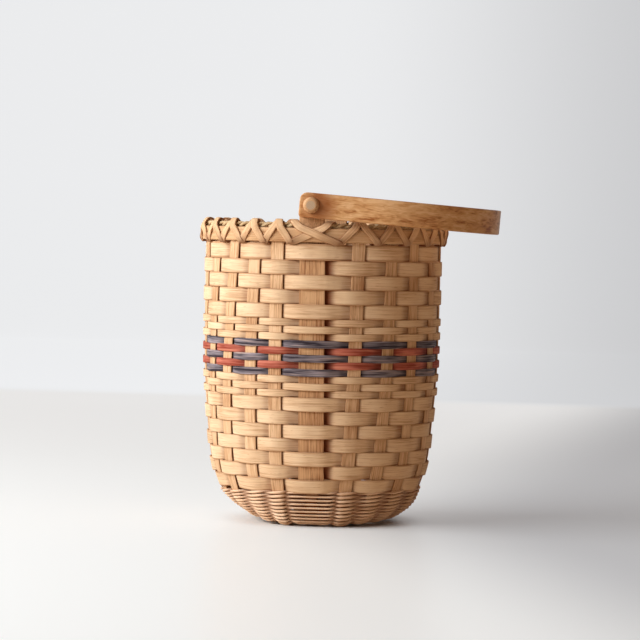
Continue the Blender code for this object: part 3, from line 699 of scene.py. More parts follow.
def foot_point(angle, share):
    """The point at a share of the foot line's length, and the line's direction there."""
    line = foot_line(angle)
    left = share * sum((after - before).length for before, after in zip(line, line[1:]))
    for before, after in zip(line, line[1:]):
        step = after - before
        if left <= step.length or after is line[-1]:
            return before + step.normalized() * left, step.normalized()
        left -= step.length


def foot_corner(angle, share, depth, lift, thick, painted_shade):
    """One corner of a twined strand: out from the foot's face by depth and up along it by lift. The upper
    rows lie lower at the left.
    """
    share -= LEFT_DROP * max(-sin(angle), 0.0) ** 2 * share
    (radius, height), (run, rise) = foot_point(angle, share)
    radius += depth * rise + lift * run
    height += lift * rise - depth * run * (1.0 - DEPTH_EASE * share)
    return (*place(angle, radius, height), sin(angle) * rise, -cos(angle) * rise, -run, thick, painted_shade)


def twist_angle(index, radius):
    """Where the strands cross between an upright and the next, close to its neighbours at the front stave."""
    following = (index + 1) % len(UPRIGHT_FEET)
    here = upright_angle(index)
    after = upright_angle(following) + (2 * pi if following == 0 else 0.0)
    near = (UPRIGHT_WIDTH * FOOT_SHARE / 2 + REED_THICK * TWIST_ROOM) / radius
    if following in STAVES:
        return here + near
    if index in STAVES:
        return after - near
    return (here + after) / 2


def twined_strand(row, strand, share):
    """Corners of one strand of a row, once round the foot."""
    corners = []
    clear = (UPRIGHT_THICK + REED_THICK) / 2
    count = len(UPRIGHT_FEET)
    for index in range(count):
        angle = upright_angle(index)
        radius = foot_point(angle, share)[0][0]
        before = twist_angle((index - 1) % count, radius) - (0.0 if index else 2 * pi)
        after = twist_angle(index, radius)
        in_front = (index + row + strand) % 2 == 0
        # Painted shade behind the uprights.
        painted_shade = 0.0 if in_front else BACK_STRAND_SHADE
        half = UPRIGHT_WIDTH * FOOT_SHARE * FLAT_HALF / radius
        slant = TWIST_HEIGHT if in_front else -TWIST_HEIGHT
        corners.append(foot_corner(before, share, TWIST_DEPTH, -slant, TWIST_SHARE, TWIST_SHADE))
        if index in STAVES:
            depths = [STRAIGHT_DEPTH] * 2 if in_front else [-clear, -clear - STAVE_FOOT_TUCK, -clear]
            step = (after - before) * (1.0 - 2 * STRAIGHT_START) / (len(depths) - 1)
            first = before + (after - before) * STRAIGHT_START
            corners += [foot_corner(first + step * number, share, depth, 0.0, STRAIGHT_SHARE, painted_shade)
                        for number, depth in enumerate(depths)]
            continue
        depth = -clear
        if in_front:
            bulge = FRONT_BULGE * cos(angle) ** 2
            if {(index + 1) % count, (index - 1) % count} & set(STAVES):
                bulge += STAVE_SIDE_BULGE
            depth = clear + bulge * min(share / BULGE_SHARE, 1.0)
        for side in (-1, 1):
            lift = side * slant * SLANT_HALF
            corners.append(foot_corner(angle + side * half, share, depth, lift, FRONT_SHARE, painted_shade))
    return corners


reed_wood = wood_finish("round_reed_wood", (250, 226, 202), (236, 205, 174), (176, 130, 96), fibre=0.7,
                        half_width=REED_THICK / 2, painted_shade=0.0, relief_depth=0.06 * MM)
for node in range(TWINED_NODES):
    strands = []
    for row in [row for row in range(TWINED_ROWS) if row * TWINED_NODES // TWINED_ROWS == node]:
        share = LAST_TWINED + (FIRST_TWINED - LAST_TWINED) * row / (TWINED_ROWS - 1)
        for strand in (0, 1):
            table = eased(twined_strand(row, strand, share), step=1.4 * MM, reach=1.4 * MM, closed=True)
            strands.append((table[:, :3], table[:, 3:6], table[:, 6], table[:, 7]))
    strip_piece(f"twined_round_{node + 1:02d}", strands, reed_wood, [f"twined_reed_{node + 1:02d}"],
                "round_reed", closed=True, Width=REED_THICK, Thickness=REED_THICK, Squareness=1.0, Sides=8,
                Stray=0.5 * MM, Seed=40.0 + node, Start=30.0 + node * 0.9)


# Rim hoops
# Two flat hoops of smooth shaved wood, one outside and one inside the tops of the uprights. Each is bent
# round until its two thinned ends lap, and the lashing holds both.

HOOP_LOW = 261.9 * MM
HOOP_HIGH = 274.9 * MM
HOOP_THICK = 3.4 * MM
OUTER_HOOP = 112.9 * MM
INNER_HOOP = 106.7 * MM
HOOP_MIDDLE = (HOOP_LOW + HOOP_HIGH) / 2
HOOP_LAP = radians(14.0)
HOOP_STEPS = 120

hoop_wood = wood_finish("hoop_wood", (230, 198, 160), (210, 172, 131), (164, 114, 74), fibre=1.2,
                        contrast=0.8, half_width=(HOOP_HIGH - HOOP_LOW) / 2, painted_shade=0.25)
for kind, radius, lap_at, start in (("outer", OUTER_HOOP, radians(150.0), 49.0),
                                    ("inner", INNER_HOOP, radians(200.0), 51.0)):
    corners = []
    turned = (2 * pi + HOOP_LAP) / HOOP_STEPS
    for step in range(HOOP_STEPS + 1):
        lapped = max(1.0 - min(step, HOOP_STEPS - step) * turned / HOOP_LAP, 0.0)
        depth = HOOP_THICK * 0.25 * lapped * (1.0 if step < HOOP_STEPS / 2 else -1.0)
        middle = place(lap_at + turned * step, radius + depth, HOOP_MIDDLE)
        corners.append((*middle, 0.0, 0.0, 1.0, 1.0, 0.0))
    table = eased(corners, step=3.5 * MM, reach=3.5 * MM)
    strip_piece(f"rim_{kind}_hoop", [lying_flat(table)], hoop_wood, [f"rim_hoop_{kind}"], "hoop_splint",
                Width=HOOP_HIGH - HOOP_LOW, Thickness=HOOP_THICK, Squareness=0.45, Stray=0.5 * MM, Seed=60.0,
                Start=start)


# Rim filler
# A twisted cord of dried grass, two plies thick, that lies on top between the hoops to round the rim off.
# It stops at each stave, so there are two lengths.

FILLER_HEIGHT = 277.2 * MM
FILLER_RADIUS = (OUTER_HOOP + INNER_HOOP) / 2
PLY_THICK = 2.9 * MM
PLY_OFFSET = 1.3 * MM
PLY_PITCH = 17.0 * MM
FILLER_CLEAR = radians(6.9)
FILLER_STEPS = 260

grass_cord = wood_finish("grass_cord", (232, 214, 178), (208, 182, 142), (140, 108, 74), fibre=0.5,
                         contrast=1.1, half_width=PLY_THICK / 2, painted_shade=0.0, relief_depth=0.15 * MM)
for kind, begin, end in (("right", FILLER_CLEAR, pi - FILLER_CLEAR),
                         ("left", pi + FILLER_CLEAR, 2 * pi - FILLER_CLEAR)):
    plies = []
    for ply in (0.0, pi):
        places, outward = [], []
        for step in range(FILLER_STEPS + 1):
            angle = begin + (end - begin) * step / FILLER_STEPS
            turn = ply + FILLER_RADIUS * angle / PLY_PITCH * 2 * pi
            aside, up = PLY_OFFSET * cos(turn), PLY_OFFSET * sin(turn)
            places.append(place(angle, FILLER_RADIUS + aside, FILLER_HEIGHT + up))
            outward.append((sin(angle) * cos(turn), -cos(angle) * cos(turn), sin(turn)))
        plies.append((places, outward, [1.0] * len(places), [0.0] * len(places)))
    strip_piece(f"rim_{kind}_filler", plies, grass_cord, [f"rim_filler_{kind}"], "round_reed",
                Width=PLY_THICK, Thickness=PLY_THICK * 0.9, Squareness=0.9, Sides=8, Stray=0.3 * MM,
                Seed=70.0, Start=60.0 + begin)


# Rim lashing
# Two strands of flat oval reed that spiral round hoops and filler, leaning opposite ways, so that they
# cross over every upright and show as a row of open V shapes. At each stave they cross as one wide X.

LASHING_WIDTH = 7.1 * MM
LASHING_THICK = 2.1 * MM
LASHING_REST = 0.85 * MM
LASHING_CROSSING = 1.4 * MM
# Painted shade on the lashing where it runs under the hoops and down their inside.
LASHING_UNDER_SHADE = 0.6
LASHING_CROWN = 279.7 * MM
CROWN_HALF = 2.4 * MM
STAVE_CLEAR = radians(9.0)


def lashing_section(lift):
    """Corners of one turn as radius, height and outward direction, lift away from what it lies on."""
    off = LASHING_REST + lift
    outside = OUTER_HOOP + HOOP_THICK / 2 + off
    inside = INNER_HOOP - HOOP_THICK / 2 - off
    crown = LASHING_CROWN + off
    high = HOOP_HIGH + 0.6 * MM
    low = HOOP_LOW - 0.4 * MM - off * 0.35
    return {"under_out": (outside - 1.0 * MM, low, 0.8, -0.6),
            "out_middle": (outside, HOOP_MIDDLE, 1.0, 0.0),
            "out_high": (outside - 0.3 * MM, high, 0.9, 0.45),
            "top_out": (FILLER_RADIUS + CROWN_HALF, crown, 0.4, 0.9),
            "top_in": (FILLER_RADIUS - CROWN_HALF, crown, -0.4, 0.9),
            "in_high": (inside, high, -0.9, 0.45),
            "in_middle": (inside, HOOP_MIDDLE, -1.0, 0.0),
            "under_in": (inside + 1.0 * MM, low, -0.8, -0.6)}


def lashing_turn(start, end, stave_angle, is_over):
    """Corner name, compass angle and lift of one turn, from the gap before an upright to the gap after it."""
    high = LASHING_CROSSING if is_over else 0.0
    if stave_angle is None:
        peak = (start + end) / 2
        rise = (("under_out", 0.0, high * 0.5), ("out_middle", 0.36, 0.0), ("out_high", 0.76, high * 0.8),
                ("top_out", 0.93, high))
        fall = (("top_in", 0.07, high), ("in_high", 0.24, high * 0.8), ("in_middle", 0.64, 0.0),
                ("under_in", 1.0, high * 0.5))
    else:
        peak = stave_angle + (STAVE_CLEAR if end > start else -STAVE_CLEAR)
        rise = (("under_out", 0.0, high * 0.5), ("out_middle", 0.45, high), ("out_high", 0.84, high * 0.6),
                ("top_out", 0.97, 0.0))
        fall = (("top_in", 0.2, 0.0), ("in_high", 0.4, high), ("in_middle", 0.7, high * 0.5),
                ("under_in", 1.0, high * 0.5))
    turn = [(corner, start + (peak - start) * share, lift) for corner, share, lift in rise]
    return turn + [(corner, peak + (end - peak) * share, lift) for corner, share, lift in fall]


def gap_angle(index):
    """Compass angle of the middle of the gap, under the rim, between an upright and the next."""
    following = (index + 1) % len(UPRIGHT_TOPS)
    halves = [(STAVE_WIDTH if number in STAVES else UPRIGHT_WIDTH) / 2 / OUTER_HOOP
              for number in (index, following)]
    near = upright_angle(index, HOOP_LOW) + halves[0]
    far = upright_angle(following, HOOP_LOW) - halves[1]
    return (near + far + (2 * pi if following == 0 else 0.0)) / 2


lashing_wood = wood_finish("lashing_reed_wood", (240, 212, 176), (224, 188, 148), (146, 92, 56), contrast=0.7,
                           half_width=LASHING_WIDTH / 2, painted_shade=0.95, relief_depth=0.1 * MM)
for kind, forward in (("under", True), ("over", False)):
    count = len(UPRIGHT_TOPS)
    path = []
    for index in range(count) if forward else range(count - 1, -1, -1):
        gaps = (gap_angle((index - 1) % count) - (2 * pi if index == 0 else 0.0), gap_angle(index))
        start, end = gaps if forward else gaps[::-1]
        path += lashing_turn(start, end, STAVES.get(index), not forward)
    corners = []
    for corner, angle, lift in path:
        radius, height, out, up = lashing_section(lift)[corner]
        # Painted shade under and inside the hoops.
        painted_shade = LASHING_UNDER_SHADE if corner in ("under_out", "under_in", "in_middle") else 0.0
        corners.append((*place(angle, radius, height), sin(angle) * out, -cos(angle) * out, up, 1.0, painted_shade))
    table = eased(corners, step=0.9 * MM, reach=1.5 * MM, closed=True)
    places, outward = table[:, :3], table[:, 3:6]
    along = numpy.roll(places, -1, axis=0) - numpy.roll(places, 1, axis=0)
    along /= numpy.linalg.norm(along, axis=1)[:, None]
    outward -= along * (outward * along).sum(axis=1)[:, None]
    outward /= numpy.linalg.norm(outward, axis=1)[:, None]
    strip_piece(f"lashing_{kind}_strand", [(places, outward, table[:, 6], table[:, 7])], lashing_wood,
                [f"rim_lashing_{kind}"], "lashing_reed", closed=True, Width=LASHING_WIDTH,
                Thickness=LASHING_THICK, Squareness=0.72, Sides=14, Stray=0.6 * MM, Seed=80.0 + forward,
                Start=70.0 + 4.0 * forward)


# Handle staves
# A wide stave of reddish wood at the front and one at the back. The rounded head stands above the rim and
# carries the peg, and the thin tail is pushed down through the weave on top of an upright.

STAVE_FOOT = 38.0 * MM
STAVE_CROWN = 305.9 * MM
STAVE_TAIL_THICK = 1.2 * MM
STAVE_NECK_FACE = 110.6 * MM
STAVE_NECK_THICK = 1.8 * MM
STAVE_HEAD_FACE = 112.2 * MM
STAVE_HEAD_THICK = 4.6 * MM
STAVE_GRAIN = 90.0
CORNER_STEPS = 4


def lofted(name, rings, grains, wood, smooth=True):
    """A closed solid through rings of points, each point with its grain place, and flat ends."""
    mesh = bpy.data.meshes.new(name)
    shape = bmesh.new()
    layer = shape.verts.layers.float_vector.new("grain")
    made = []
    for ring, marks in zip(rings, grains):
        verts = [shape.verts.new(point) for point in ring]
        for vert, mark in zip(verts, marks):
            vert[layer] = mark
        made.append(verts)
    for low, high in zip(made, made[1:]):
        for side in range(len(low)):
            after = (side + 1) % len(low)
            shape.faces.new((low[side], low[after], high[after], high[side]))
    shape.faces.new(made[0][::-1])
    shape.faces.new(made[-1])
    bmesh.ops.recalc_face_normals(shape, faces=shape.faces)
    for face in shape.faces:
        face.smooth = smooth and len(face.verts) == 4
    shape.to_mesh(mesh)
    shape.free()
    mesh.materials.append(wood)
    return add_object(name, mesh)


def rounded_section(half_width, half_thick, radius):
    """Points round a rectangle with round corners, as pairs of across and through, with one more beside each
    corner so that the flats stay flat.
    """
    across, through = half_width - radius, half_thick - radius
    points = []
    for corner, (side, face) in enumerate(((1, 1), (-1, 1), (-1, -1), (1, -1))):
        round_corner = []
        for step in range(CORNER_STEPS + 1):
            turn = pi / 2 * (corner + step / CORNER_STEPS)
            round_corner.append((side * across + radius * cos(turn), face * through + radius * sin(turn)))
        on_side = (side * half_width, face * through * 0.8)
        on_face = (side * (across - min(across * 0.2, radius * 0.3)), face * half_thick)
        before, after = (on_side, on_face) if corner % 2 == 0 else (on_face, on_side)
        points += [before, *round_corner, after]
    return points


stave_wood = wood_finish("stave_wood_finish", (220, 180, 138), (201, 157, 116), (152, 104, 70), fibre=1.3,
                         contrast=1.9, half_width=STAVE_WIDTH / 2, painted_shade=0.3, relief_depth=0.15 * MM)
for kind, index in (("front", 0), ("back", 10)):
    levels = []
    for height in [STAVE_FOOT] + [point[1] for point in WALL_LINE[1:-1]]:
        face = wall_radius(upright_angle(index, height), height) + STAVE_FACE
        levels.append((height, face, STAVE_TAIL_THICK, 1.0))
    levels += [(HOOP_LOW - 5.4 * MM, WALL_LINE[-1][0] + STAVE_FACE, STAVE_TAIL_THICK, 1.0),
               (HOOP_LOW - 1.5 * MM, STAVE_NECK_FACE, STAVE_NECK_THICK, 1.0),
               (HOOP_HIGH + 0.2 * MM, STAVE_NECK_FACE, STAVE_NECK_THICK, 1.0),
               (HOOP_HIGH + 5.0 * MM, STAVE_HEAD_FACE, STAVE_HEAD_THICK, 1.0)]
    for degrees in range(0, 86, 6):
        height = STAVE_CROWN - STAVE_WIDTH / 2 * (1.0 - sin(radians(degrees)))
        levels.append((height, STAVE_HEAD_FACE, STAVE_HEAD_THICK, cos(radians(degrees))))
    rings, grains = [], []
    for height, face, thick, share in levels:
        angle = upright_angle(index, height) if height < HOOP_LOW - 2.0 * MM else STAVES[index]
        edge = min(thick * 0.3, 1.0 * MM, STAVE_WIDTH * share * 0.3)
        section = rounded_section(STAVE_WIDTH / 2 * share, thick / 2, edge)
        middle = face - thick / 2
        rings.append([place(angle + aside / face, middle + through, height) for aside, through in section])
        grains.append([(height + STAVE_GRAIN + index, aside, through) for aside, through in section])
    stave = lofted(f"stave_{kind}", rings, grains, stave_wood)
    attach(stave, "basket")
    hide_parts(f"handle_stave_{kind}")


# Handle bow
# One strip of hardwood, steamed and bent into a bow with two round corners. Its ends are rounded off at
# the top and bored for the pegs. Oil and handling have given it a mottled honey colour.

PIVOT = Vector((0.0, 0.0, 295.5 * MM))
FOLDED_ANGLE = radians(4.1)
BOW_REACH = 165.4 * MM
BOW_WIDTH = 22.8 * MM
BOW_THICK = 8.4 * MM
BOW_INNER_FACE = 112.9 * MM
BOW_BEND = 108.0 * MM
BOW_END = 11.0 * MM
BOW_TOP_ROUND = 7.0 * MM
BOW_LOW_ROUND = 2.6 * MM
BOW_EDGE = 1.1 * MM
# Partly stain, partly painted shadow: the bow browns round a spot a little way in from each peg hole, on the
# side where the peg's shadow falls.
STAIN_AND_SHADOW_SHIFT = 7.0 * MM
STAIN_AND_SHADOW_FULL = 7.0 * MM
STAIN_AND_SHADOW_END = 23.0 * MM
PEG_RADIUS = 4.0 * MM
HOLE_RADIUS = PEG_RADIUS + 0.3 * MM
DRILL_LENGTH = 0.4
BEND_STEPS = 30
BOW_GRAIN = 110.0


def build_oiled_wood():
    """Shader group for oiled hardwood: mottled figure, fine pores along the grain, and a darkening beside
    each peg hole that is partly stain and partly the peg's painted shadow.
    """
    tree, given = open_group("oiled_wood", {
        "Honey": colour(206, 152, 98), "Amber": colour(186, 128, 74), "Brown": colour(142, 84, 42),
        "Near Hole": (0.0, 0.0, 0.0), "Far Hole": (0.0, 0.0, 0.0)},
        {"Colour": "Color", "Roughness": "Float", "Height": "Float"})
    figure = grain_noise(tree, (85.0, 290.0, 200.0), 6.0, Distortion=0.9)
    pores = grain_noise(tree, (150.0, 1500.0, 1500.0), 3.0)
    broad = grain_noise(tree, (26.0, 90.0, 60.0), 3.0, Distortion=0.6)
    level = weighted(tree, (figure, 0.5), (broad, 0.45), (pores, 0.3))
    level = maths(tree, "ADD", maths(tree, "MULTIPLY", maths(tree, "SUBTRACT", level, 0.625), 3.8), 0.6)
    tint = shades(tree, level, given["Brown"], given["Amber"], given["Honey"])
    edge = maths(tree, "MULTIPLY", near_edge(tree, BOW_WIDTH / 2, 0.93, 0.99), 0.6)
    grain = marked(tree, "grain", "Vector")
    near, far = (add_node(tree, "ShaderNodeVectorMath", {0: grain, 1: given[hole]},
                          operation="DISTANCE").outputs["Value"] for hole in ("Near Hole", "Far Hole"))
    # Partly stain, partly painted shadow of the peg.
    stain_and_shadow = fade(tree, maths(tree, "MINIMUM", near, far), STAIN_AND_SHADOW_END, STAIN_AND_SHADOW_FULL, 0.0, 0.8,
                 interpolation_type="SMOOTHSTEP")
    tint = blend(tree, maths(tree, "MAXIMUM", edge, stain_and_shadow), tint, given["Brown"])
    rough = maths(tree, "ADD", 0.36, maths(tree, "MULTIPLY", pores, 0.22))
    height = weighted(tree, (pores, 0.7), (figure, 0.3))
    add_node(tree, "NodeGroupOutput", {"Colour": tint, "Roughness": rough, "Height": height})
    return tree


OILED_WOOD = build_oiled_wood()


def bow_path():
    """Middle of the bow in its own level plane, from one rounded end to the other."""
    half_span = BOW_INNER_FACE + BOW_THICK / 2
    bend = BOW_BEND - BOW_THICK / 2
    bend_x, bend_y = BOW_REACH - BOW_THICK / 2 - bend, half_span - bend
    ends = [-BOW_END + back * MM for back in (0.0, 0.3, 1.0, 2.0, 3.5, 5.2, 7.0)]
    arm = [(x, -half_span) for x in ends] + [(x * MM, -half_span) for x in (4, 14, 26, 38)]
    turns = [pi / 2 * step / BEND_STEPS for step in range(BEND_STEPS + 1)]
    corner = [(bend_x + bend * sin(turn), -bend_y - bend * cos(turn)) for turn in turns]
    near = arm + corner
    return near + [(x, -y) for x, y in reversed(near)]


def end_limit(from_end, radius):
    """How far a corner of the end is cut back at a distance from the end's tip."""
    if from_end >= radius:
        return 0.0
    return radius - (radius ** 2 - (radius - from_end) ** 2) ** 0.5


path = bow_path()
middles = numpy.array(path)
travels = travelled(middles)
near_hole, far_hole = BOW_END + STAIN_AND_SHADOW_SHIFT, travels[-1] - BOW_END - STAIN_AND_SHADOW_SHIFT
bow_finish = grouped_finish("bow_honey_wood", OILED_WOOD, {
    "Honey": colour(228, 189, 143), "Amber": colour(207, 157, 105), "Brown": colour(150, 86, 44),
    "Near Hole": (BOW_GRAIN + near_hole, 0.0, 0.0), "Far Hole": (BOW_GRAIN + far_hole, 0.0, 0.0)},
    0.2, 0.35, 0.1 * MM)
tilt = Matrix.Rotation(FOLDED_ANGLE, 4, "Y")


def along_bow(number):
    """The bow's direction at one of its middles, in its own plane."""
    return (Vector(path[min(number + 1, len(path) - 1)]) - Vector(path[max(number - 1, 0)])).normalized()


rings = []
for number, (x, y) in enumerate(path):
    ahead = along_bow(number)
    from_end = x + BOW_END
    high = BOW_WIDTH / 2 - end_limit(from_end, BOW_TOP_ROUND)
    low = -BOW_WIDTH / 2 + end_limit(from_end, BOW_LOW_ROUND)
    thick = BOW_THICK - 2 * end_limit(from_end, BOW_EDGE)
    section = rounded_section((high - low) / 2, thick / 2, min(BOW_EDGE, thick * 0.4, (high - low) * 0.4))
    ring = []
    for aside, through in section:
        point = Vector((x + ahead.y * through, y - ahead.x * through, (high + low) / 2 + aside))
        ring.append(PIVOT + tilt @ point)
    rings.append(ring)

# The rings stand in for the grain until the bow is bored and its grain is marked.
bow = lofted("swing_bow", rings, rings, bow_finish, smooth=False)
drill_mesh = bpy.data.meshes.new("bow_drill")
drill_shape = bmesh.new()
bmesh.ops.create_cone(drill_shape, cap_ends=True, segments=40, radius1=HOLE_RADIUS, radius2=HOLE_RADIUS,
                      depth=DRILL_LENGTH)
drill_shape.to_mesh(drill_mesh)
drill_shape.free()
drill = add_object("bow_drill", drill_mesh)
drill.matrix_world = Matrix.Translation(PIVOT) @ Matrix.Rotation(pi / 2, 4, "X")
bored = bow.modifiers.new("Bored", "BOOLEAN")
bored.object = drill
bored.solver = "EXACT"
bpy.context.view_layer.update()
bow_mesh = bpy.data.meshes.new_from_object(bow.evaluated_get(bpy.context.evaluated_depsgraph_get()))
bow.modifiers.clear()
bow.data = bow_mesh
bpy.data.objects.remove(drill)
marks = []
for vert in bow_mesh.vertices:
    point = tilt.inverted() @ (vert.co - PIVOT)
    nearest = int(numpy.argmin(numpy.hypot(middles[:, 0] - point.x, middles[:, 1] - point.y)))
    ahead = along_bow(nearest)
    away = Vector((point.x, point.y)) - Vector(path[nearest])
    travel = travels[nearest] + away.dot(ahead)
    marks += [travel + BOW_GRAIN, point.z, away.dot(Vector((ahead.y, -ahead.x)))]
bow_mesh.attributes["grain"].data.foreach_set("vector", marks)
for polygon in bow_mesh.polygons:
    polygon.use_smooth = True
bow_mesh.set_sharp_from_angle(angle=radians(28.0))
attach(bow, "handle")
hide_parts("handle_bow")


# Handle pegs
# A turned wooden peg at each end of the bow. Its shank goes through bow and stave, and its button head
# has a small flat face of grey end grain with a polished shoulder round it.

PEG_HEAD_RADIUS = 7.4 * MM
PEG_FACE_RADIUS = 4.0 * MM
PEG_HEAD_LENGTH = 5.4 * MM
PEG_INNER_END = 104.4 * MM
PEG_GAP = 0.3 * MM
PEG_SHOULDER = 0.7 * MM
PEG_SIDES = 40
PEG_GRAIN = 120.0


def peg_profile():
    """Radius and distance from the basket's middle, from the inner end out to the flat face."""
    face = BOW_INNER_FACE + BOW_THICK + PEG_GAP
    profile = [(PEG_RADIUS - 0.6 * MM, PEG_INNER_END), (PEG_RADIUS - 0.15 * MM, PEG_INNER_END + 0.2 * MM),
               (PEG_RADIUS, PEG_INNER_END + 0.7 * MM), (PEG_RADIUS, face - 0.05 * MM),
               (PEG_RADIUS + 0.3 * MM, face), (PEG_HEAD_RADIUS - 0.3 * MM, face),
               (PEG_HEAD_RADIUS, face + 0.3 * MM)]
    for step in range(9):
        turn = pi / 2 * step / 8
        profile.append((PEG_FACE_RADIUS + (PEG_HEAD_RADIUS - PEG_FACE_RADIUS) * cos(turn),
                        face + PEG_SHOULDER + (PEG_HEAD_LENGTH - PEG_SHOULDER) * sin(turn)))
    profile.append((PEG_FACE_RADIUS - 0.5 * MM, face + PEG_HEAD_LENGTH - 0.02 * MM))
    return profile


def peg_finish():
    """Turned wood whose flat face shows grey end grain with faint rings."""
    material = wood_finish("peg_turned_wood", (228, 194, 154), (204, 162, 120), (138, 94, 60), fibre=0.8,
                           painted_shade=0.0, relief_depth=0.08 * MM)
    tree = material.node_tree
    base = tree.nodes["Principled BSDF"].inputs["Base Color"]
    wood = base.links[0].from_socket
    parts = add_node(tree, "ShaderNodeSeparateXYZ", {0: marked(tree, "grain", "Vector")}).outputs
    flat = add_node(tree, "ShaderNodeCombineXYZ", {"X": parts["Y"], "Y": parts["Z"]}).outputs[0]
    spread = add_node(tree, "ShaderNodeVectorMath", {0: flat}, operation="LENGTH").outputs["Value"]
    on_face = fade(tree, spread, PEG_FACE_RADIUS + 0.4 * MM, PEG_FACE_RADIUS - 0.4 * MM)
    rings = maths(tree, "SINE", maths(tree, "MULTIPLY", spread, 5200.0))
    ringed = maths(tree, "ADD", 0.5, maths(tree, "MULTIPLY", rings, 0.3))
    grey = blend(tree, ringed, colour(176, 152, 128), colour(200, 178, 152))
    tree.links.new(blend(tree, on_face, wood, grey), base)
    return material


peg_wood = peg_finish()
for kind, facing in (("front", -1.0), ("back", 1.0)):
    rings, grains = [], []
    for radius, reach in peg_profile():
        ring, marks = [], []
        for side in range(PEG_SIDES):
            turn = 2 * pi * side / PEG_SIDES
            aside, up = radius * cos(turn), radius * sin(turn)
            ring.append(PIVOT + Vector((aside, facing * reach, up)))
            marks.append((reach + PEG_GRAIN, aside, up))
        rings.append(ring)
        grains.append(marks)
    peg = lofted(f"peg_{kind}", rings, grains, peg_wood)
    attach(peg, "basket")
    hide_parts(f"handle_peg_{kind}")


# Table, light and camera
# A plain pale table and wall in soft daylight from a window at the left, seen from the height of the rim.

TABLE_SIZE = 12.0
TABLE_END = 2.0
WALL_START = 4.0
WALL_CURVE = 0.4
CURVE_STEPS = 16
GLOW_LEFT = -0.45
GLOW_RIGHT = 0.45
SHADOW_FADE_START = -0.1
SHADOW_FADE_END = 0.2
COVERED_RADIUS = 0.07
FRONT_SLANT = 0.35
BACK_SLANT = 0.12
FAR_START = 0.7
FAR_END = 1.8


def seen_rays(tree):
    """1 for rays that show something to the camera: straight, by gloss or through something clear."""
    rays = tree.nodes.new("ShaderNodeLightPath").outputs
    seen = maths(tree, "MAXIMUM", rays["Is Camera Ray"], rays["Is Glossy Ray"])
    return maths(tree, "MAXIMUM", seen, rays["Is Transmission Ray"])


def pale_finish(name):
    """A plain pale table that turns into a pale wall. It keeps shadows, but the camera sees part of its
    paleness as an even glow that falls off from left to right, and it throws back less light than it shows.
    On the table, right of the basket, a painted shadow darkens both that glow and the table's own colour.
    """
    material, tree, shader = new_material(name, 0.15)
    shader.inputs["Roughness"].default_value = 0.35
    seen = seen_rays(tree)
    spot = tree.nodes.new("ShaderNodeTexCoord").outputs["Object"]
    parts = add_node(tree, "ShaderNodeSeparateXYZ", {0: spot}).outputs

    def soft(value, start, end):
        """A soft step from 0 at the start to 1 at the end."""
        return fade(tree, value, start, end, interpolation_type="SMOOTHSTEP")

    across = soft(parts["X"], GLOW_LEFT, GLOW_RIGHT)
    back = soft(parts["Y"], TABLE_END - 0.12, TABLE_END + 0.06)
    # Painted shadow on the table: to the right of the basket both the glow and the table's colour darken,
    # along a line that slants so that the front stays lighter.
    shift = maths(tree, "MINIMUM", maths(tree, "MULTIPLY", parts["Y"], FRONT_SLANT),
                  maths(tree, "MULTIPLY", parts["Y"], -BACK_SLANT))
    painted_shadow_across = soft(maths(tree, "ADD", parts["X"], shift), SHADOW_FADE_START, SHADOW_FADE_END)
    surface = blend(tree, painted_shadow_across, (0.9, 0.97, 1.0, 1.0), (0.66, 0.71, 0.77, 1.0))
    surface = blend(tree, back, surface, (0.66, 0.8, 0.96, 1.0))
    tree.links.new(blend(tree, seen, (0.76, 0.62, 0.48, 1.0), surface), shader.inputs["Base Color"])
    glow = blend(tree, back, blend(tree, painted_shadow_across, (1.0, 1.0, 1.0, 1.0), (0.5, 0.505, 0.52, 1.0)),
                 blend(tree, across, (0.92, 0.93, 0.945, 1.0), (0.65, 0.655, 0.67, 1.0)))
    share = fade(tree, back, 0.0, 1.0, fade(tree, parts["Y"], FAR_START, FAR_END, 0.38, 0.6), 0.87)
    # The glow is left out under and close round the foot, so the camera sees only the lit table there, which
    # is darker.
    from_middle = add_node(tree, "ShaderNodeVectorMath", {0: spot}, operation="LENGTH").outputs["Value"]
    share = maths(tree, "MULTIPLY", share, soft(from_middle, COVERED_RADIUS, COVERED_RADIUS + 0.04))
    shining = add_node(tree, "ShaderNodeEmission", {"Color": glow, "Strength": 1.0}).outputs[0]
    mixed = add_node(tree, "ShaderNodeMixShader", {
        0: maths(tree, "MULTIPLY", seen, share), 1: shader.outputs[0], 2: shining}).outputs[0]
    tree.links.new(mixed, tree.nodes["Material Output"].inputs["Surface"])
    return material


sweep = bpy.data.meshes.new("table_and_wall")
shape = bmesh.new()
profile = [(-TABLE_SIZE / 2, 0.0)]
for step in range(CURVE_STEPS + 1):
    turn = pi / 2 * step / CURVE_STEPS
    profile.append((WALL_START + WALL_CURVE * sin(turn), WALL_CURVE * (1.0 - cos(turn))))
profile.append((WALL_START + WALL_CURVE, TABLE_SIZE / 2))
rows = [[shape.verts.new((x, y, z)) for x in (-TABLE_SIZE / 2, TABLE_SIZE / 2)] for y, z in profile]
for low, high in zip(rows, rows[1:]):
    shape.faces.new((low[0], low[1], high[1], high[0])).smooth = True
shape.to_mesh(sweep)
shape.free()
sweep.materials.append(pale_finish("pale_table"))
floor = add_object("table_and_wall", sweep)


def soft_light(name, compass, elevation, distance, size, power, tint):
    """A pane of soft light that faces the middle of the basket."""
    lamp = bpy.data.lights.new(name, "AREA")
    lamp.energy = power
    lamp.shape = "RECTANGLE"
    lamp.size, lamp.size_y = size
    lamp.color = tint
    lit = add_object(name, lamp)
    aim = Vector((0.0, 0.0, 0.15))
    up = radians(elevation)
    lit.location = aim + place(radians(compass), distance * cos(up), distance * sin(up))
    lit.rotation_euler = (aim - lit.location).to_track_quat("-Z", "Y").to_euler()


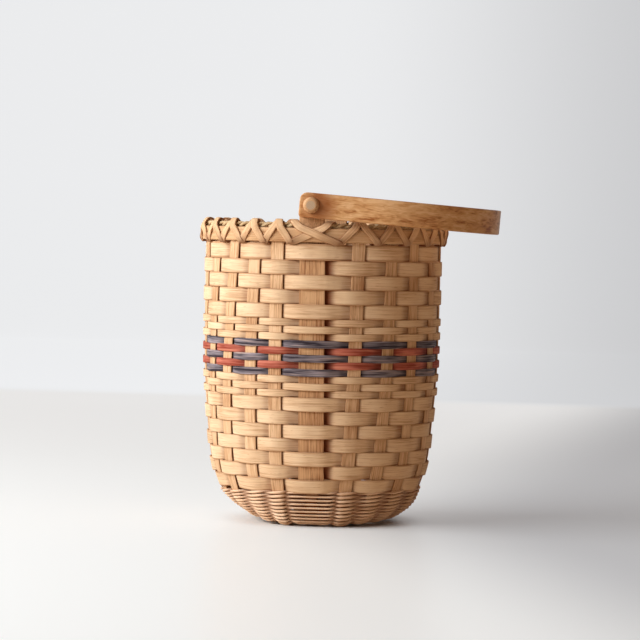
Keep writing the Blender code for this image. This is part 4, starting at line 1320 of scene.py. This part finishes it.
soft_light("window_left", -64.0, 25.0, 2.1, (2.3, 0.9), 62.5, (1.0, 0.99, 0.97))
soft_light("window_behind", -125.0, 60.0, 2.4, (1.2, 1.2), 8.0, (0.97, 0.985, 1.0))
world = bpy.data.worlds.new("room_light")
world.use_nodes = True
tree = world.node_tree
shown = blend(tree, seen_rays(tree), (0.18, 0.096, 0.044, 1.0), (0.66, 0.66, 0.67, 1.0))
tree.links.new(shown, tree.nodes["Background"].inputs["Color"])
tree.nodes["Background"].inputs["Strength"].default_value = 1.0
bpy.context.scene.world = world

CAMERA_DISTANCE = 2.9
CAMERA_HEIGHT = 281.5 * MM
CAMERA_COMPASS = radians(5.7)
CAMERA_ROLL = radians(1.35)
FOCAL_PIXELS = 3074.0
PICTURE_SIZE = 640.0
HORIZON_ROW = 221.0
AXIS_COLUMN = 321.9

camera_data = bpy.data.cameras.new("photo_view")
camera_data.sensor_width = 36.0
camera_data.lens = FOCAL_PIXELS / PICTURE_SIZE * camera_data.sensor_width
camera_data.clip_end = 50.0
camera = add_object("photo_view", camera_data)
pitch = atan((PICTURE_SIZE / 2 - HORIZON_ROW) / FOCAL_PIXELS)
yaw = atan((AXIS_COLUMN - PICTURE_SIZE / 2) / FOCAL_PIXELS)
to_axis = -place(CAMERA_COMPASS, 1.0, 0.0)
level = Matrix.Rotation(yaw, 3, "Z") @ to_axis
forward = (level * cos(pitch) + Vector((0.0, 0.0, -sin(pitch)))).normalized()
right = forward.cross(Vector((0.0, 0.0, 1.0))).normalized()
upward = right.cross(forward)
rolled_right = right * cos(CAMERA_ROLL) + upward * sin(CAMERA_ROLL)
rolled_up = upward * cos(CAMERA_ROLL) - right * sin(CAMERA_ROLL)
turned = Matrix((rolled_right, rolled_up, -forward)).transposed()
stand = place(CAMERA_COMPASS, CAMERA_DISTANCE, CAMERA_HEIGHT)
camera.matrix_world = Matrix.Translation(stand) @ turned.to_4x4()
bpy.context.scene.camera = camera
bpy.context.scene.view_settings.view_transform = "Standard"
